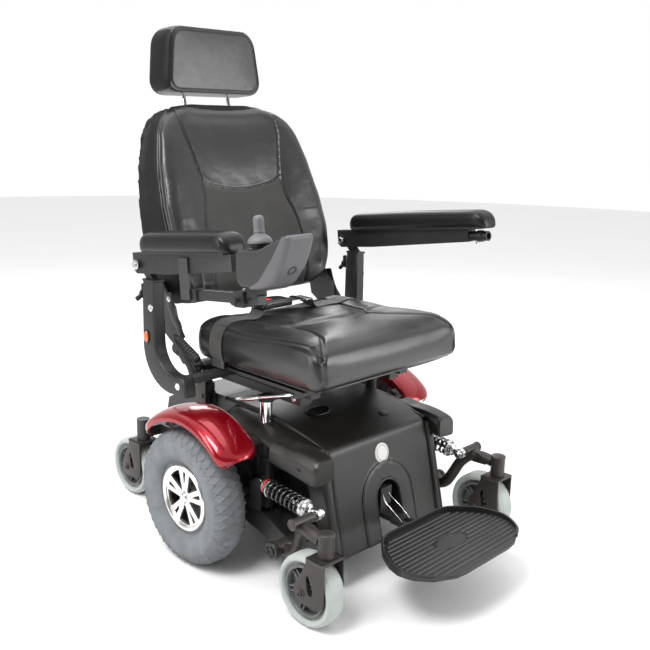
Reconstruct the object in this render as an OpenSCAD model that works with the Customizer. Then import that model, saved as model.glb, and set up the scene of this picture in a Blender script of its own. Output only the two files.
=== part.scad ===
// Power wheelchair: mid-wheel drive base, captain seat, flip-up arms, joystick.
// Millimetres. +Z up, front of the chair faces -Y, occupant's left is +X.
// The origin is on the floor under the middle of the chair.

/* [Base] */
// Outside diameter of a drive tyre
drive_tyre_od = 318; // [300:1:330]
// Width of a drive tyre
drive_tyre_w = 84; // [70:1:88]
// Distance between the middles of the drive tyres
drive_track = 631; // [625:1:650]
// Radius where the drive tyre sits on its rim
drive_rim_r = 75; // [70:1:80]
// Outside diameter of a caster tyre
caster_od = 156; // [146:1:160]
// Width of a caster tyre
caster_w = 49; // [40:1:50]
// How far a caster wheel trails behind its swivel axis
caster_trail = 40; // [30:1:45]
// Distance between the front caster swivel axes
front_track = 600; // [590:1:620]
// Front caster swivel axis, ahead of the drive axle
front_swivel_y = 420; // [410:1:440]
// Distance between the rear caster swivel axes
rear_track = 414; // [400:1:430]
// Rear caster swivel axis, behind the drive axle
rear_swivel_y = 365; // [355:1:380]
// Drive axle, behind the origin
axle_y = 61; // [40:1:80]

/* [Seat] */
// Width of the seat cushion
seat_w = 476; // [440:1:480]
// Height of the cushion's top
seat_top = 568; // [560:1:580]
// Thickness of the seat cushion
seat_h = 111; // [90:1:112]
// Cushion front edge, ahead of the drive axle
seat_front = 326; // [300:1:330]
// Cushion rear edge, behind the drive axle
seat_rear = 85; // [60:1:88]
// Lean of the backrest from upright, in degrees
back_lean = 12.4; // [8:0.1:16]
// Widest width of the backrest
back_w = 524; // [480:1:530]
// Length of the backrest cushion along its lean
back_len = 468; // [440:1:480]
// Thickness of the backrest cushion
back_t = 100; // [80:1:104]
// Width of the headrest
head_w = 300; // [240:1:320]
// Height of the headrest
head_h = 172; // [150:1:190]

/* [Arms] */
// Distance between the middles of the armrests
arm_track = 668; // [660:1:680]
// Length of the left arm pad
left_pad = 450; // [400:1:460]
// Length of the right arm pad, short of the joystick
right_pad = 325; // [280:1:330]
// Upward slope of the armrests towards the front, in degrees
arm_tilt = 6.5; // [0:0.5:8]

/* [Footrest] */
// Widest width of the footplate
foot_w = 372; // [340:1:380]
// Front edge of the footplate, ahead of the drive axle
foot_front = 605; // [590:1:615]
// Height of the footplate's rim
foot_top = 137; // [130:1:140]

/* [Hidden] */
$fn = 48;

RIGHT = -1;
LEFT = 1;
running = 0.05;         // radial clearance of a running fit
gap = 0.3;              // clearance between neighbouring bodies

axle_z = drive_tyre_od / 2;
wheel_x = drive_track / 2;
caster_r = caster_od / 2;
hub_r = caster_r - 22.6;
fork_gap = caster_w / 2 + 1.5;   // middle of a caster wheel to its fork's cheek
fork_t = 4;                      // thickness of a fork's plates
fork_top = 163;                  // top of a fork's crown plate
barrel_r = 17.5;
barrel_top = 214;
stem_r = 8;                      // swivel stem of a caster fork
axle_r = 5;                      // axle bolt of a caster wheel

// Suspension: where the front arm and the shock absorber turn
pivot_y = -252;
pivot_z = 108;
pivot_r = 8;
shock_x = 251;
shock_rear = [-165, 225];        // y, z of the shock's rear pin
shock_front = [-342, 211];       // y, z of the shock's front pin
shock_len = norm(shock_front - shock_rear);
shock_dip = atan2(shock_rear[1] - shock_front[1], shock_rear[0] - shock_front[0]);
pin_r = 5;
open_eye_r = 7;                  // rod eye: wide of its pin by the open pivot's play
spring_turns = 6.5;
spring_r = 18;
spring_wire = 5;
spring_start = 38;               // along the shock from its rear pin
spring_end = 138;

// Footrest: its sliding stem, and the hinge of the plate
foot_stem_y = -300;
foot_hinge_y = -394;
foot_hinge_z = 122;

// Seat mechanism levels
base_rail_top = 413;
slide_rail_top = 430;
pan_bottom = 447;
pan_top = 453;
rail_x = 150;
recline_y = 118;
recline_z = 478;

// Armrest: hinge bolt, and the bar's depth under it
arm_x = arm_track / 2;
arm_hinge_y = 145;
arm_hinge_z = 683;
post_w = 25;
post_d = 28;
receiver_top = 650;
knob_z = 613;
pad_w = 70;
pad_low = 27;
pad_high = 72;

// Joystick, in the right armrest's own frame
stick_y = -408;
deck_z = 37;                     // flat top of the case around the joystick
stick_pivot = 25;
keypad_slope = 17.2;
keypad_y = -475;
keypad_z = 50.7;

charcoal = [0.10, 0.10, 0.11];
steel = [0.20, 0.19, 0.19];
silver = [0.75, 0.75, 0.76];
red = [0.62, 0.02, 0.07];
tyre_grey = [0.50, 0.52, 0.53];
vinyl = [0.07, 0.07, 0.075];

// ---- shared shapes ----

// Places a shape from drive-axle coordinates into the chair's frame
module at_axle() translate([0, axle_y, 0]) children();

// A round bar centred on the origin along X
module bar_x(r, l) rotate([0, 90, 0]) cylinder(r = r, h = l, center = true);

// A round bar centred on the origin along Y
module bar_y(r, l) rotate([90, 0, 0]) cylinder(r = r, h = l, center = true);

// A round bar between two points
module bar(a, b, r) {
    d = b - a;
    translate(a) rotate([0, acos(d[2] / norm(d)), atan2(d[1], d[0])]) cylinder(r = r, h = norm(d));
}

// A bent tube through a list of points
module bent_tube(points, r) {
    for (i = [0 : len(points) - 2]) bar(points[i], points[i + 1], r);
    for (i = [1 : len(points) - 2]) translate(points[i]) sphere(r = r + 0.3);
}

// A box between two corners
module block(low, high) translate(low) cube(high - low);

// A flat rectangle with round corners
module soft_rect(w, h, r) {
    square([w - 2 * r, h], center = true);
    square([w, h - 2 * r], center = true);
    for (x = [-1, 1], y = [-1, 1]) translate([x * (w / 2 - r), y * (h / 2 - r)]) circle(r = r);
}

// A side-view outline (y, z) made w wide and centred on x
module side_plate(x, w) translate([x - w / 2, 0, 0]) rotate([90, 0, 90]) linear_extrude(w) children();

// A top-view outline between two heights
module layer(low, high) translate([0, 0, low]) linear_extrude(high - low) children();

// A round piece turned about X: outline is (radius, x)
module turned_x() rotate([0, 90, 0]) rotate_extrude($fn = 96) children();

module drive_place(s) at_axle() translate([s * wheel_x, 0, axle_z]) children();

// ---- chassis ----

module chassis_rails() {
    for (s = [RIGHT, LEFT]) {
        block([s * 150 - 15, -262, 78], [s * 150 + 15, 235, 118]);
        // plate that carries the gearbox
        block([s * 167 - 2.5, -60, 78], [s * 167 + 2.5, 60, 230]);
        // outrigger to the suspension pivot
        side_plate(s * 238, 24) polygon([[-50, 128], [-50, 176], [-112, 178], [-246, 125], [-252, 91], [-232, 90]]);
        translate([s * 207, -64, 152]) cube([84, 24, 24], center = true);
        translate([s * 238, pivot_y, pivot_z]) bar_x(17, 24);
        // rear arm, raised over the sweep of the caster
        block([s * 150 - 15, 205, 117], [s * 150 + 15, 235, 200]);
        block([s * 150 - 15, 205, 172], [s * 150 + 15, 372, 200]);
    }
    translate([0, pivot_y, pivot_z]) bar_x(14, 460);
    block([-150, 66, 82], [150, 96, 112]);
    block([-150, 205, 82], [150, 235, 112]);
    block([-rear_track / 2, 346, 172], [rear_track / 2, 372, 200]);
    // battery tray
    block([-136, -238, 78], [136, 67, 83]);
}

module seat_sockets() {
    for (s = [RIGHT, LEFT], y = [-100, 120]) {
        translate([s * 180, y, 118]) difference() {
            cylinder(r = 19, h = 132);
            translate([0, 0, 12]) cylinder(r = 14.05, h = 130);
        }
        block([min(s * 150, s * 182), y - 12, 90], [max(s * 150, s * 182), y + 12, 124]);
    }
}

module shock_bracket(s) {
    for (x = [240.5, 261.5]) side_plate(s * x, 5) {
        translate(shock_rear) circle(r = 12);
        translate([shock_rear[0] - 12, 165]) square([34, 60]);
    }
    block([min(s * 238, s * 264), -152, 165], [max(s * 238, s * 264), -143, 225]);
    translate([s * shock_x, shock_rear[0], shock_rear[1]]) bar_x(pin_r, 30);
    block([min(s * 226, s * 264), -152, 160], [max(s * 226, s * 264), -143, 175]);
}

module footrest_socket() {
    difference() {
        translate([0, foot_stem_y, 168]) cube([36, 36, 44], center = true);
        translate([0, foot_stem_y, 168]) cube([26.6, 26.6, 46], center = true);
    }
    for (x = [-1, 1]) {
        block([x * 14 - 4, -284, 148], [x * 14 + 4, -238, 176]);
        block([x * 14 - 4, -262, 96], [x * 14 + 4, -238, 150]);
    }
}

module tie_down(s, y) {
    side_plate(s * 168, 6) difference() {
        union() {
            translate([y, 128]) circle(r = 20);
            translate([y - 20, 96]) square([40, 32]);
        }
        translate([y, 128]) circle(r = 9);
    }
    block([min(s * 150, s * 169), y - 20, 96], [max(s * 150, s * 169), y + 20, 104]);
}

module chassis_frame() color(charcoal) at_axle() {
    difference() {
        union() {
            chassis_rails();
            for (s = [RIGHT, LEFT]) translate([s * rear_track / 2, rear_swivel_y, fork_top + 0.5])
                cylinder(r = barrel_r, h = barrel_top + 6 - fork_top);
        }
        for (s = [RIGHT, LEFT]) translate([s * rear_track / 2, rear_swivel_y, 100])
            cylinder(r = stem_r + running, h = 208 - 100);
    }
    seat_sockets();
    footrest_socket();
    for (s = [RIGHT, LEFT]) {
        shock_bracket(s);
        tie_down(s, -215);
        tie_down(s, 180);
        // suspension pivot bolt
        translate([s * 268, pivot_y, pivot_z]) bar_x(pivot_r, 40);
        translate([s * 289, pivot_y, pivot_z]) bar_x(13, 6);
    }
}

// Side outline of the front shroud, from its foot over the top deck
module shroud_outline() polygon([
    [-345, 76], [-290, 303], [-284, 309], [-240, 324], [-150, 342], [-20, 350], [62, 350],
    [62, 252], [-262, 252], [-318, 76]
]);

module shroud_arch() {
    translate([0, 208 - 42]) circle(r = 42);
    translate([-42, 60]) square([84, 106]);
}

module front_shroud() color(charcoal) at_axle() difference() {
    union() {
        side_plate(0, 336) shroud_outline();
        for (s = [RIGHT, LEFT]) {
            // side strip and the ear that reaches over the suspension
            side_plate(s * 180, 24) polygon([[-345, 76], [-322, 290], [-300, 318], [-200, 318], [-200, 300], [-300, 76]]);
            translate([s * 214, -190, 290]) rotate([90, 0, 0]) linear_extrude(132) difference() {
                soft_rect(64, 64, 26);
                translate([s * -8, -8]) soft_rect(64, 64, 22);
            }
            block([min(s * 184, s * 240), -322, 262], [max(s * 184, s * 240), -318, 304]);
        }
    }
    // hollow under the deck
    side_plate(0, 328) polygon([
        [-343, 60], [-284.5, 299.5], [-239, 319], [-150, 337], [-20, 345], [70, 345], [70, 60]
    ]);
    rotate([90, 0, 0]) translate([0, 0, 250]) linear_extrude(120) shroud_arch();
    for (s = [RIGHT, LEFT]) {
        translate([s * 180, -100, 200]) cylinder(r = 22, h = 200);
        translate([s * 176, 0, 0]) block([-12, -310, 60], [12, -255, 250]);
    }
}

module rear_cover() color(charcoal) at_axle() {
    difference() {
        side_plate(0, 336) polygon([[62.5, 152], [62.5, 350], [180, 350], [300, 290], [318, 206], [196, 206], [196, 152]]);
        side_plate(0, 328) polygon([[50, 120], [50, 346], [179, 346], [296.5, 287], [314, 206], [314, 196], [192, 196], [192, 120]]);
        for (s = [RIGHT, LEFT]) translate([s * 180, 120, 110]) cylinder(r = 22, h = 290);
        // grommet hole for the joystick cable
        translate([-100, 250, 300]) cylinder(r = 9, h = 60);
    }
}

module batteries() color([0.16, 0.16, 0.18]) at_axle() for (y = [-224, -84]) {
    block([-98, y, 83.5], [98, y + 130, 240]);
    for (x = [-70, 70]) translate([x, y + 30, 239]) cylinder(r = 9, h = 10);
}

module control_module() color(steel) at_axle() {
    block([-90, 90, 150], [90, 184, 205]);
    for (x = [-60 : 20 : 60]) translate([x, 185, 178]) bar_y(7, 8);
}

module fender_section() {
    polygon([
        [-66, 196], [-60, 207], [-46, 213], [-14, 216], [18, 213], [36, 204], [44, 186],
        [41, 186], [34, 201], [17, 210], [-14, 213], [-46, 210], [-58, 204], [-66, 193]
    ]);
}

module fenders() color(red) at_axle() for (s = [RIGHT, LEFT]) {
    translate([s * wheel_x, -10, axle_z]) mirror([s < 0 ? 1 : 0, 0, 0]) {
        rotate([0, -90, 0]) rotate([0, 0, -48]) rotate_extrude(angle = 96, $fn = 96)
            mirror([0, 1, 0]) rotate([0, 0, 90]) mirror([0, 1, 0]) fender_section();
        // inner tabs that bolt to the shroud
        for (a = [-38, 38]) rotate([a, 0, 0]) translate([-82, -14, 198]) cube([20, 28, 4]);
    }
}

module drive_motors() color(steel) at_axle() for (s = [RIGHT, LEFT]) {
    translate([s * 219, 0, axle_z]) bar_x(45, 98);
    translate([s * 236, 130, axle_z]) bar_y(34, 190);
    translate([s * 236, 228, axle_z]) bar_y(28, 12);
    translate([s * 295, 0, axle_z]) bar_x(10, 70);
}

// ---- drive wheels ----

module drive_tyre(s) color(tyre_grey) drive_place(s) turned_x() {
    translate([(axle_z + drive_rim_r) / 2 + 4, 0]) soft_rect(axle_z - drive_rim_r - 8, drive_tyre_w, 30);
    translate([drive_rim_r + 0.2, -drive_tyre_w / 2 + 13]) square([24, drive_tyre_w - 26]);
}

module drive_rim(s) color(silver) drive_place(s) mirror([s < 0 ? 1 : 0, 0, 0]) difference() {
    union() {
        turned_x() {
            translate([66, -28]) square([drive_rim_r - 66, 56]);
            translate([16, -14]) square([52, 8]);
            translate([0, -14]) square([23, 42]);
        }
        for (i = [0 : 4]) rotate([i * 72, 0, 0]) for (d = [-1, 1])
            translate([20, 0, 0]) rotate([d * 9, 0, 0]) translate([-5, -4.5, 16]) cube([9, 9, 54]);
    }
    translate([-8, 0, 0]) bar_x(10 + running, 48);
}

// ---- casters ----

// Side outline of a fork cheek about its axle, (y, z)
module cheek() difference() {
    union() {
        polygon([[-64, 85], [-12, 85], [-12, 72], [20, 8], [12, -18], [-30, -22], [-60, 0], [-64, 20]]);
        circle(r = 22);
        translate([-38, 4]) circle(r = 26);
    }
    translate([-26, 12]) circle(r = 8);
    translate([-18, 42]) circle(r = 4);
    polygon([[-33.6, 14.5], [-21.9, 43], [-14.2, 40.8], [-18.8, 8.4]]);
}

module fork() {
    difference() {
        union() {
            for (x = [-1, 1]) side_plate(x * (fork_gap + fork_t / 2), fork_t) cheek();
            block([-fork_gap - fork_t, -64, 80], [fork_gap + fork_t, -12, 85]);
        }
        bar_x(axle_r - 1, 100);
    }
    bar_x(axle_r, 2 * (fork_gap + fork_t) + 4);
    for (x = [-1, 1]) translate([x * (fork_gap + fork_t + 2), 0, 0]) bar_x(8, 4);
    translate([0, -caster_trail, 84]) cylinder(r = stem_r, h = 205 - 162);
}

module caster_place(s, track, y) at_axle() translate([s * track / 2, y + caster_trail, caster_r]) children();

module caster_hub() difference() {
    union() {
        turned_x() {
            translate([hub_r - 7, -20]) square([7, 40]);
            translate([10, -4]) square([hub_r - 12, 8]);
            translate([0, -25]) square([17, 50]);
        }
        for (i = [0 : 5]) rotate([i * 60, 0, 0]) for (d = [-1, 1])
            translate([-16, d * 6 - 1.5, 12]) cube([32, 3, hub_r - 16]);
    }
    bar_x(axle_r + running, 60);
}

module caster_tyre() turned_x() translate([(caster_r + hub_r + 0.2) / 2, 0])
    soft_rect(caster_r - hub_r - 0.2, caster_w, 10.5);

// ---- front suspension ----

module front_arm(s) color(steel) at_axle() mirror([s < 0 ? 1 : 0, 0, 0]) difference() {
    union() {
        translate([268, pivot_y, pivot_z]) bar_x(17, 35);
        bent_tube([[268, pivot_y, pivot_z], [264, -292, 116], [273, -318, 160], [297, -345, 201], [300, -410, 193]], 14);
        translate([front_track / 2, -front_swivel_y, fork_top + 0.5]) cylinder(r = barrel_r, h = barrel_top - fork_top);
        translate([292, shock_front[0], shock_front[1]]) bar_x(11, 60);
        translate([252, shock_front[0], shock_front[1]]) bar_x(pin_r, 24);
        translate([238.5, shock_front[0], shock_front[1]]) bar_x(8, 4);
        side_plate(285, 6) polygon([[-342, 211], [-345, 195], [-395, 188], [-395, 204]]);
    }
    translate([268, pivot_y, pivot_z]) bar_x(pivot_r + running, 60);
    translate([front_track / 2, -front_swivel_y, 100]) cylinder(r = stem_r + running, h = 208 - 100);
}

// Local +Z runs from the shock's rear pin to its front pin
module shock_place(s) at_axle() translate([s * shock_x, shock_rear[0], shock_rear[1]])
    rotate([90 + shock_dip, 0, 0]) children();

module shock_body(s) color(silver) shock_place(s) difference() {
    union() {
        bar_x(9, 11);
        translate([0, 0, 4]) cylinder(r = 7.5, h = 16);
        translate([0, 0, 16]) cylinder(r = 16, h = 16);
        translate([0, 0, 32]) cylinder(r = 21, h = 5);
        translate([0, 0, 32]) cylinder(r = 12, h = 68);
    }
    bar_x(pin_r + running, 20);
    translate([0, 0, 50]) cylinder(r = 5 + running, h = 60);
}

module shock_rod(s) color(silver) shock_place(s) difference() {
    union() {
        translate([0, 0, 84]) cylinder(r = 5, h = 60);
        translate([0, 0, 139]) cylinder(r = 20, h = 6);
        translate([0, 0, 145]) cylinder(r = 13, h = 12);
        translate([0, 0, 155]) cylinder(r = 8, h = 16);
        translate([0, 0, shock_len]) bar_x(12, 11);
    }
    translate([0, 0, shock_len]) bar_x(open_eye_r, 20);
}

// Points of the coil spring's wire and the tube swept along them
function coil_point(t) = [
    spring_r * cos(t * spring_turns * 360), spring_r * sin(t * spring_turns * 360),
    spring_start + spring_wire / 2 + t * (spring_end - spring_start - spring_wire)
];
coil_steps = 90;
coil_sides = 8;
function coil_ring(i) = let (
    c = coil_point(i / coil_steps),
    a = i / coil_steps * spring_turns * 360,
    out = [cos(a), sin(a), 0]
) [for (k = [0 : coil_sides - 1]) let (b = k * 360 / coil_sides)
    c + spring_wire / 2 * (cos(b) * out + sin(b) * [0, 0, 1])];

// Closed skin over n+1 rings of m points each
function tube_faces(n, m) = concat(
    [[for (k = [0 : m - 1]) m - 1 - k]],
    [for (i = [0 : n - 1], k = [0 : m - 1])
        [i * m + k, i * m + (k + 1) % m, (i + 1) * m + (k + 1) % m, (i + 1) * m + k]],
    [[for (k = [0 : m - 1]) n * m + k]]
);

module shock_spring(s) color([0.05, 0.05, 0.05]) shock_place(s) polyhedron(
    points = [for (i = [0 : coil_steps]) each coil_ring(i)],
    faces = tube_faces(coil_steps, coil_sides), convexity = 12);

// ---- footrest ----

module footrest_stem() color(charcoal) at_axle() difference() {
    union() {
        translate([0, foot_stem_y, 152]) cube([26, 26, 72], center = true);
        block([-13, -372, 116], [13, foot_stem_y, 128]);
        for (x = [-1, 1]) side_plate(x * 16, 6) {
            translate([foot_hinge_y, foot_hinge_z]) circle(r = 6);
            translate([foot_hinge_y, 116]) square([-350 - foot_hinge_y, 12]);
        }
        block([-19, -372, 116], [19, -350, 128]);
    }
    translate([0, foot_hinge_y, foot_hinge_z]) bar_x(3 + running, 60);
}

module foot_outline(inset) {
    w = foot_w / 2 - inset;
    rear = -402 - inset;
    front = -foot_front + inset;
    polygon([
        [-96 + inset / 2, rear], [96 - inset / 2, rear], [150 - inset, -440], [w - 8, -482], [w, -512],
        [w - 6, -545], [w - 34, -578], [w - 80, front + 4], [w - 110, front],
        [110 - w, front], [80 - w, front + 4], [34 - w, -578], [6 - w, -545],
        [-w, -512], [8 - w, -482], [inset - 150, -440]
    ]);
}

module footplate() color(charcoal) at_axle() {
    difference() {
        layer(foot_top - 22, foot_top) foot_outline(0);
        layer(foot_top - 12, foot_top + 1) difference() {
            foot_outline(6);
            translate([-250, -402]) square([500, 0.01]);
        }
        // raised rim only along the rear and sides
        block([-250, -640, foot_top - 12], [250, -530, foot_top + 1]);
    }
    for (i = [0 : 11]) layer(foot_top - 12.5, foot_top - 9.5) intersection() {
        foot_outline(10);
        translate([-250, -424 - i * 14.5]) square([500, 6]);
    }
    translate([0, foot_hinge_y, foot_hinge_z]) bar_x(3, 42);
    block([-12.5, -404, 116], [12.5, -393, 125]);
    translate([0, foot_hinge_y, foot_hinge_z]) bar_x(5, 25);
}

// ---- seat ----

module seat_base_frame() color(charcoal) at_axle() {
    for (s = [RIGHT, LEFT]) {
        for (y = [-100, 120]) translate([s * 180, y, 140]) cylinder(r = 14, h = 252);
        block([s * rail_x - 16, -200, base_rail_top - 21], [s * rail_x + 16, 160, base_rail_top]);
        for (y = [-100, 120]) block([min(s * 150, s * 196), y - 16, base_rail_top - 27], [max(s * 150, s * 196), y + 16, base_rail_top - 16]);
    }
    for (y = [-110, 110]) block([-150, y, base_rail_top - 20], [150, y + 24, base_rail_top - 4]);
}

module seat_pan() color(steel) at_axle() {
    block([-226, -270, pan_bottom], [226, 78, pan_top]);
    for (s = [RIGHT, LEFT]) {
        block([s * rail_x - 14, -230, base_rail_top + gap], [s * rail_x + 14, 130, slide_rail_top]);
        for (y = [-180, 90]) block([s * rail_x - 14, y, slide_rail_top - 1], [s * rail_x + 14, y + 30, pan_bottom + 1]);
        // bracket and pin of the recline hinge
        side_plate(s * 256, 6) {
            polygon([[30, 440], [30, pan_top], [106, 494], [137, 484], [136, 466], [110, 440]]);
            translate([recline_y, recline_z]) circle(r = 20);
        }
        block([min(s * 200, s * 258), 30, 440], [max(s * 200, s * 258), 78, pan_top]);
        translate([s * 262, recline_y, recline_z]) bar_x(8, 18);
        translate([s * 272, recline_y, recline_z]) bar_x(12, 5);
    }
    // bracket of the recline lever
    difference() {
        block([-277, 20, 418], [-271, 48, 452]);
        translate([-274, 34, 432]) bar_x(5 + running, 12);
    }
    block([-277, 32, 444], [-220, 46, 452]);
    // hinge block of the slide lever
    difference() {
        block([-222, -246, 434], [-180, -224, pan_bottom + 1]);
        translate([-200, -235, 441]) bar_x(3 + running, 60);
    }
}

module seat_cushion() color(vinyl) at_axle() {
    bottom = seat_top - seat_h;
    side_plate(0, seat_w) {
        translate([(seat_rear - seat_front) / 2, (seat_top + bottom) / 2])
            soft_rect(seat_front + seat_rear, seat_h, 40);
        translate([seat_rear - 60, bottom]) square([60, seat_h - 20]);
        translate([-seat_front + 30, bottom]) square([60, 50]);
    }
}

module slide_lever() color(silver) at_axle() {
    translate([-200, -235, 441]) bar_x(3, 50);
    translate([-177, -235, 441]) bar_x(6, 4);
    translate([-227, -235, 441]) bar_x(6, 8);
    bar([-228, -235, 441], [-238, -130, 411], 4);
    translate([-239, -108, 404]) rotate([-16, 0, 0]) intersection() {
        cube([30, 84, 16], center = true);
        translate([0, 0, -60]) sphere(r = 72);
    }
}

module receiver_outline() {
    polygon([[88, 470], [90, receiver_top], [132, receiver_top], [136, 470]]);
    difference() {
        translate([36, 503]) circle(r = 100);
        translate([20, 515]) circle(r = 68);
        translate([-100, 470]) square([300, 140]);
        translate([-100, 400]) square([76, 210]);
    }
    translate([-24, 405]) square([40, 44]);
}

module armrest_receivers() color(charcoal) at_axle() difference() {
    union() {
        for (s = [RIGHT, LEFT]) side_plate(s * arm_x, 33) receiver_outline();
        block([-arm_x, -15, slide_rail_top + 0.5], [arm_x, 15, pan_bottom - 0.5]);
    }
    for (s = [RIGHT, LEFT]) {
        translate([s * arm_x, 110, 570]) cube([post_w + 0.6, post_d + 0.6, 180], center = true);
        translate([s * arm_x, 130, knob_z]) bar_y(4 + running, 20);
    }
}

// ---- back and headrest ----

// Recline frame: local +Z runs up the back, local +Y to its rear
module reclined() at_axle() translate([0, recline_y, recline_z]) rotate([-back_lean, 0, 0]) children();

back_low = 98;
back_face = -35;

module back_frame() color(charcoal) reclined() {
    for (s = [RIGHT, LEFT]) {
        difference() {
            side_plate(s * 263, 6) {
                circle(r = 20);
                polygon([[-18, 8], [18, 12], [78, 70], [78, 160], [30, 160], [-10, 96]]);
            }
            translate([s * 263, 0, 0]) bar_x(8 + running, 12);
        }
        block([min(s * 200, s * 264), 67, 110], [max(s * 200, s * 264), 78, 160]);
        // sleeve for a headrest post
        difference() {
            translate([s * 71, 99, 430]) cylinder(r = 10, h = 90);
            translate([s * 71, 99, 420]) cylinder(r = 5 + running, h = 110);
        }
        block([s * 71 - 8, 84, 440], [s * 71 + 8, 92, 510]);
    }
    rotate([90, 0, 0]) translate([0, 310, -86]) linear_extrude(19) soft_rect(430, 430, 60);
}

module back_cushion() color(vinyl) reclined() difference() {
    rotate([90, 0, 0]) translate([0, 0, -(back_face + back_t)]) linear_extrude(back_t) polygon([
        [-215, back_low], [-236, back_low + 26], [-back_w / 2 + 8, 170], [-back_w / 2, 250], [-back_w / 2 + 3, 330],
        [-back_w / 2 + 18, 430], [-back_w / 2 + 36, 500], [-198, 540], [-160, 560], [-90, 565],
        [90, 565], [160, 560], [198, 540], [back_w / 2 - 36, 500],
        [back_w / 2 - 18, 430], [back_w / 2 - 3, 330], [back_w / 2, 250], [back_w / 2 - 8, 170],
        [236, back_low + 26], [215, back_low]
    ]);
    // room for the hinge arms beside the lower end
    for (s = [RIGHT, LEFT]) block([s * 290 - 33, -80, 60], [s * 290 + 33, 90, 165]);
}

module recline_lever() color(charcoal) at_axle() {
    side_plate(-282, 4) {
        translate([34, 432]) circle(r = 13);
        polygon([[22, 436], [46, 428], [112, 500], [112, 516], [96, 516]]);
    }
    bar([-282, 98, 506], [-282, 22, 474], 10);
    translate([-278, 34, 432]) bar_x(5, 20);
}

module headrest_posts() color(silver) reclined() {
    for (s = [RIGHT, LEFT]) translate([s * 71, 99, 425]) cylinder(r = 5, h = 255);
}

head_y = 350;
head_z = 1143;
head_t = 90;
head_lean = 5;

module headrest() color(vinyl) at_axle() difference() {
    translate([0, head_y, head_z]) rotate([90 - head_lean, 0, 0]) translate([0, 0, -head_t / 2])
        linear_extrude(head_t) soft_rect(head_w, head_h, 34);
    translate([0, recline_y, recline_z]) rotate([-back_lean, 0, 0])
        for (s = [RIGHT, LEFT]) translate([s * 71, 99, 500]) cylinder(r = 5.2, h = 182);
}

// ---- armrests ----

module arm_place(s) at_axle() translate([s * arm_x, arm_hinge_y, arm_hinge_z]) children();

// Armrest frame: local +Y runs back along the sloping bar
module arm_frame(s) arm_place(s) rotate([-arm_tilt, 0, 0]) children();

module arm_post(s) color(charcoal) arm_place(s) difference() {
    union() {
        side_plate(0, 15.2) {
            circle(r = 13);
            polygon([[-13, 0], [13, 0], [-21, -33], [-49, -33]]);
        }
        translate([0, -35, -32 - 75]) cube([post_w, post_d, 150], center = true);
    }
    bar_x(6 + running, 40);
}

module arm_bar(s) color(charcoal) arm_frame(s) {
    front = s == LEFT ? -425 : -335;
    difference() {
        side_plate(0, 32) polygon([[20, 26.5], [20, -12], [8, -21], [-110, -20], [front, front == -425 ? -5 : -8], [front, 26.5]]);
        block([-8, -75, -60], [8, 40, 20]);
    }
    bar_x(6, 36);
    for (x = [-1, 1]) translate([x * 19, 0, 0]) bar_x(9, 6);
    // stub tube for an accessory on the left arm
    if (s == LEFT) difference() {
        translate([0, -443, 8]) bar_y(12, 62);
        translate([0, -443, 8]) bar_y(8, 80);
    }
}

module arm_pad(s) color(vinyl) arm_frame(s) {
    l = s == LEFT ? left_pad : right_pad;
    start = s == LEFT ? -34 : -19;
    translate([0, start, (pad_low + pad_high) / 2]) rotate([90, 0, 0])
        linear_extrude(l) soft_rect(pad_w, pad_high - pad_low, 16);
}

module star_knob(s) color(charcoal) at_axle() translate([s * arm_x, 0, knob_z]) {
    translate([0, 139, 0]) bar_y(4, 28);
    translate([0, 152, 0]) bar_y(9, 12);
    for (i = [0 : 2]) rotate([0, i * 120, 0]) {
        translate([-5, 146, 0]) cube([10, 12, 18]);
        translate([0, 152, 18]) bar_y(6, 12);
    }
}

// ---- joystick controller, in the right armrest's frame ----

module controller_bracket() color(charcoal) arm_frame(RIGHT) {
    for (x = [-18.3, 18.3]) side_plate(x, 4) polygon([[-160, 18], [-160, -72], [-192, -72], [-192, 18]]);
    block([-20.3, -192, -72], [20.3, -160, -50]);
    block([-10, -402, -72], [10, -160, -52]);
    block([-17, -362, -76], [17, -340, -48]);
    block([-14, -378, -60], [14, -372, -37]);
}

module case_outline() polygon([
    [-365, -24], [-371, deck_z], [-431, deck_z], [-518, 64], [-523, 54], [-501, 10], [-463, -30],
    [-428, -37], [-378, -36]
]);

module keypad_place() translate([0, keypad_y, keypad_z]) rotate([-keypad_slope, 0, 0]) children();

module controller_case() color(steel) arm_frame(RIGHT) difference() {
    side_plate(0, 70) case_outline();
    translate([0, stick_y, 8]) cylinder(r = 18, h = 40);
    translate([0, stick_y, stick_pivot]) bar_x(2 + running, 46);
    keypad_place() translate([0, 0, -4]) cylinder(r = 6.3, h = 20);
    // charger socket in the front of the case
    translate([0, -482, -10]) rotate([133, 0, 0]) translate([0, 0, -8]) cylinder(r = 8, h = 30);
}

module joystick_gimbal() color(steel) arm_frame(RIGHT) translate([0, stick_y, stick_pivot]) difference() {
    union() {
        cylinder(r = 12, h = 7, center = true);
        bar_x(2, 44);
    }
    cylinder(r = 8, h = 9, center = true);
    bar_y(1.5 + running, 30);
    bar_x(3, 12);
}

module joystick() color([0.42, 0.42, 0.44]) arm_frame(RIGHT) translate([0, stick_y, stick_pivot]) {
    translate([0, 0, -8]) cylinder(r = 4, h = 50);
    bar_y(1.5, 23);
    translate([0, 0, 23]) rotate_extrude() polygon([[0, 4], [24, 0], [23, 6], [17, 14], [11, 19], [0, 19]]);
    translate([0, 0, 40]) cylinder(r = 9, h = 5);
    translate([0, 0, 44]) cylinder(r = 10.5, h = 22);
    translate([0, 0, 66]) sphere(r = 10.5);
}

module power_button() color(silver) arm_frame(RIGHT) keypad_place() translate([0, 0, -2.5]) cylinder(r = 6, h = 4);

// ---- belt ----

belt_y = 8;
belt_w = 44;

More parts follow.
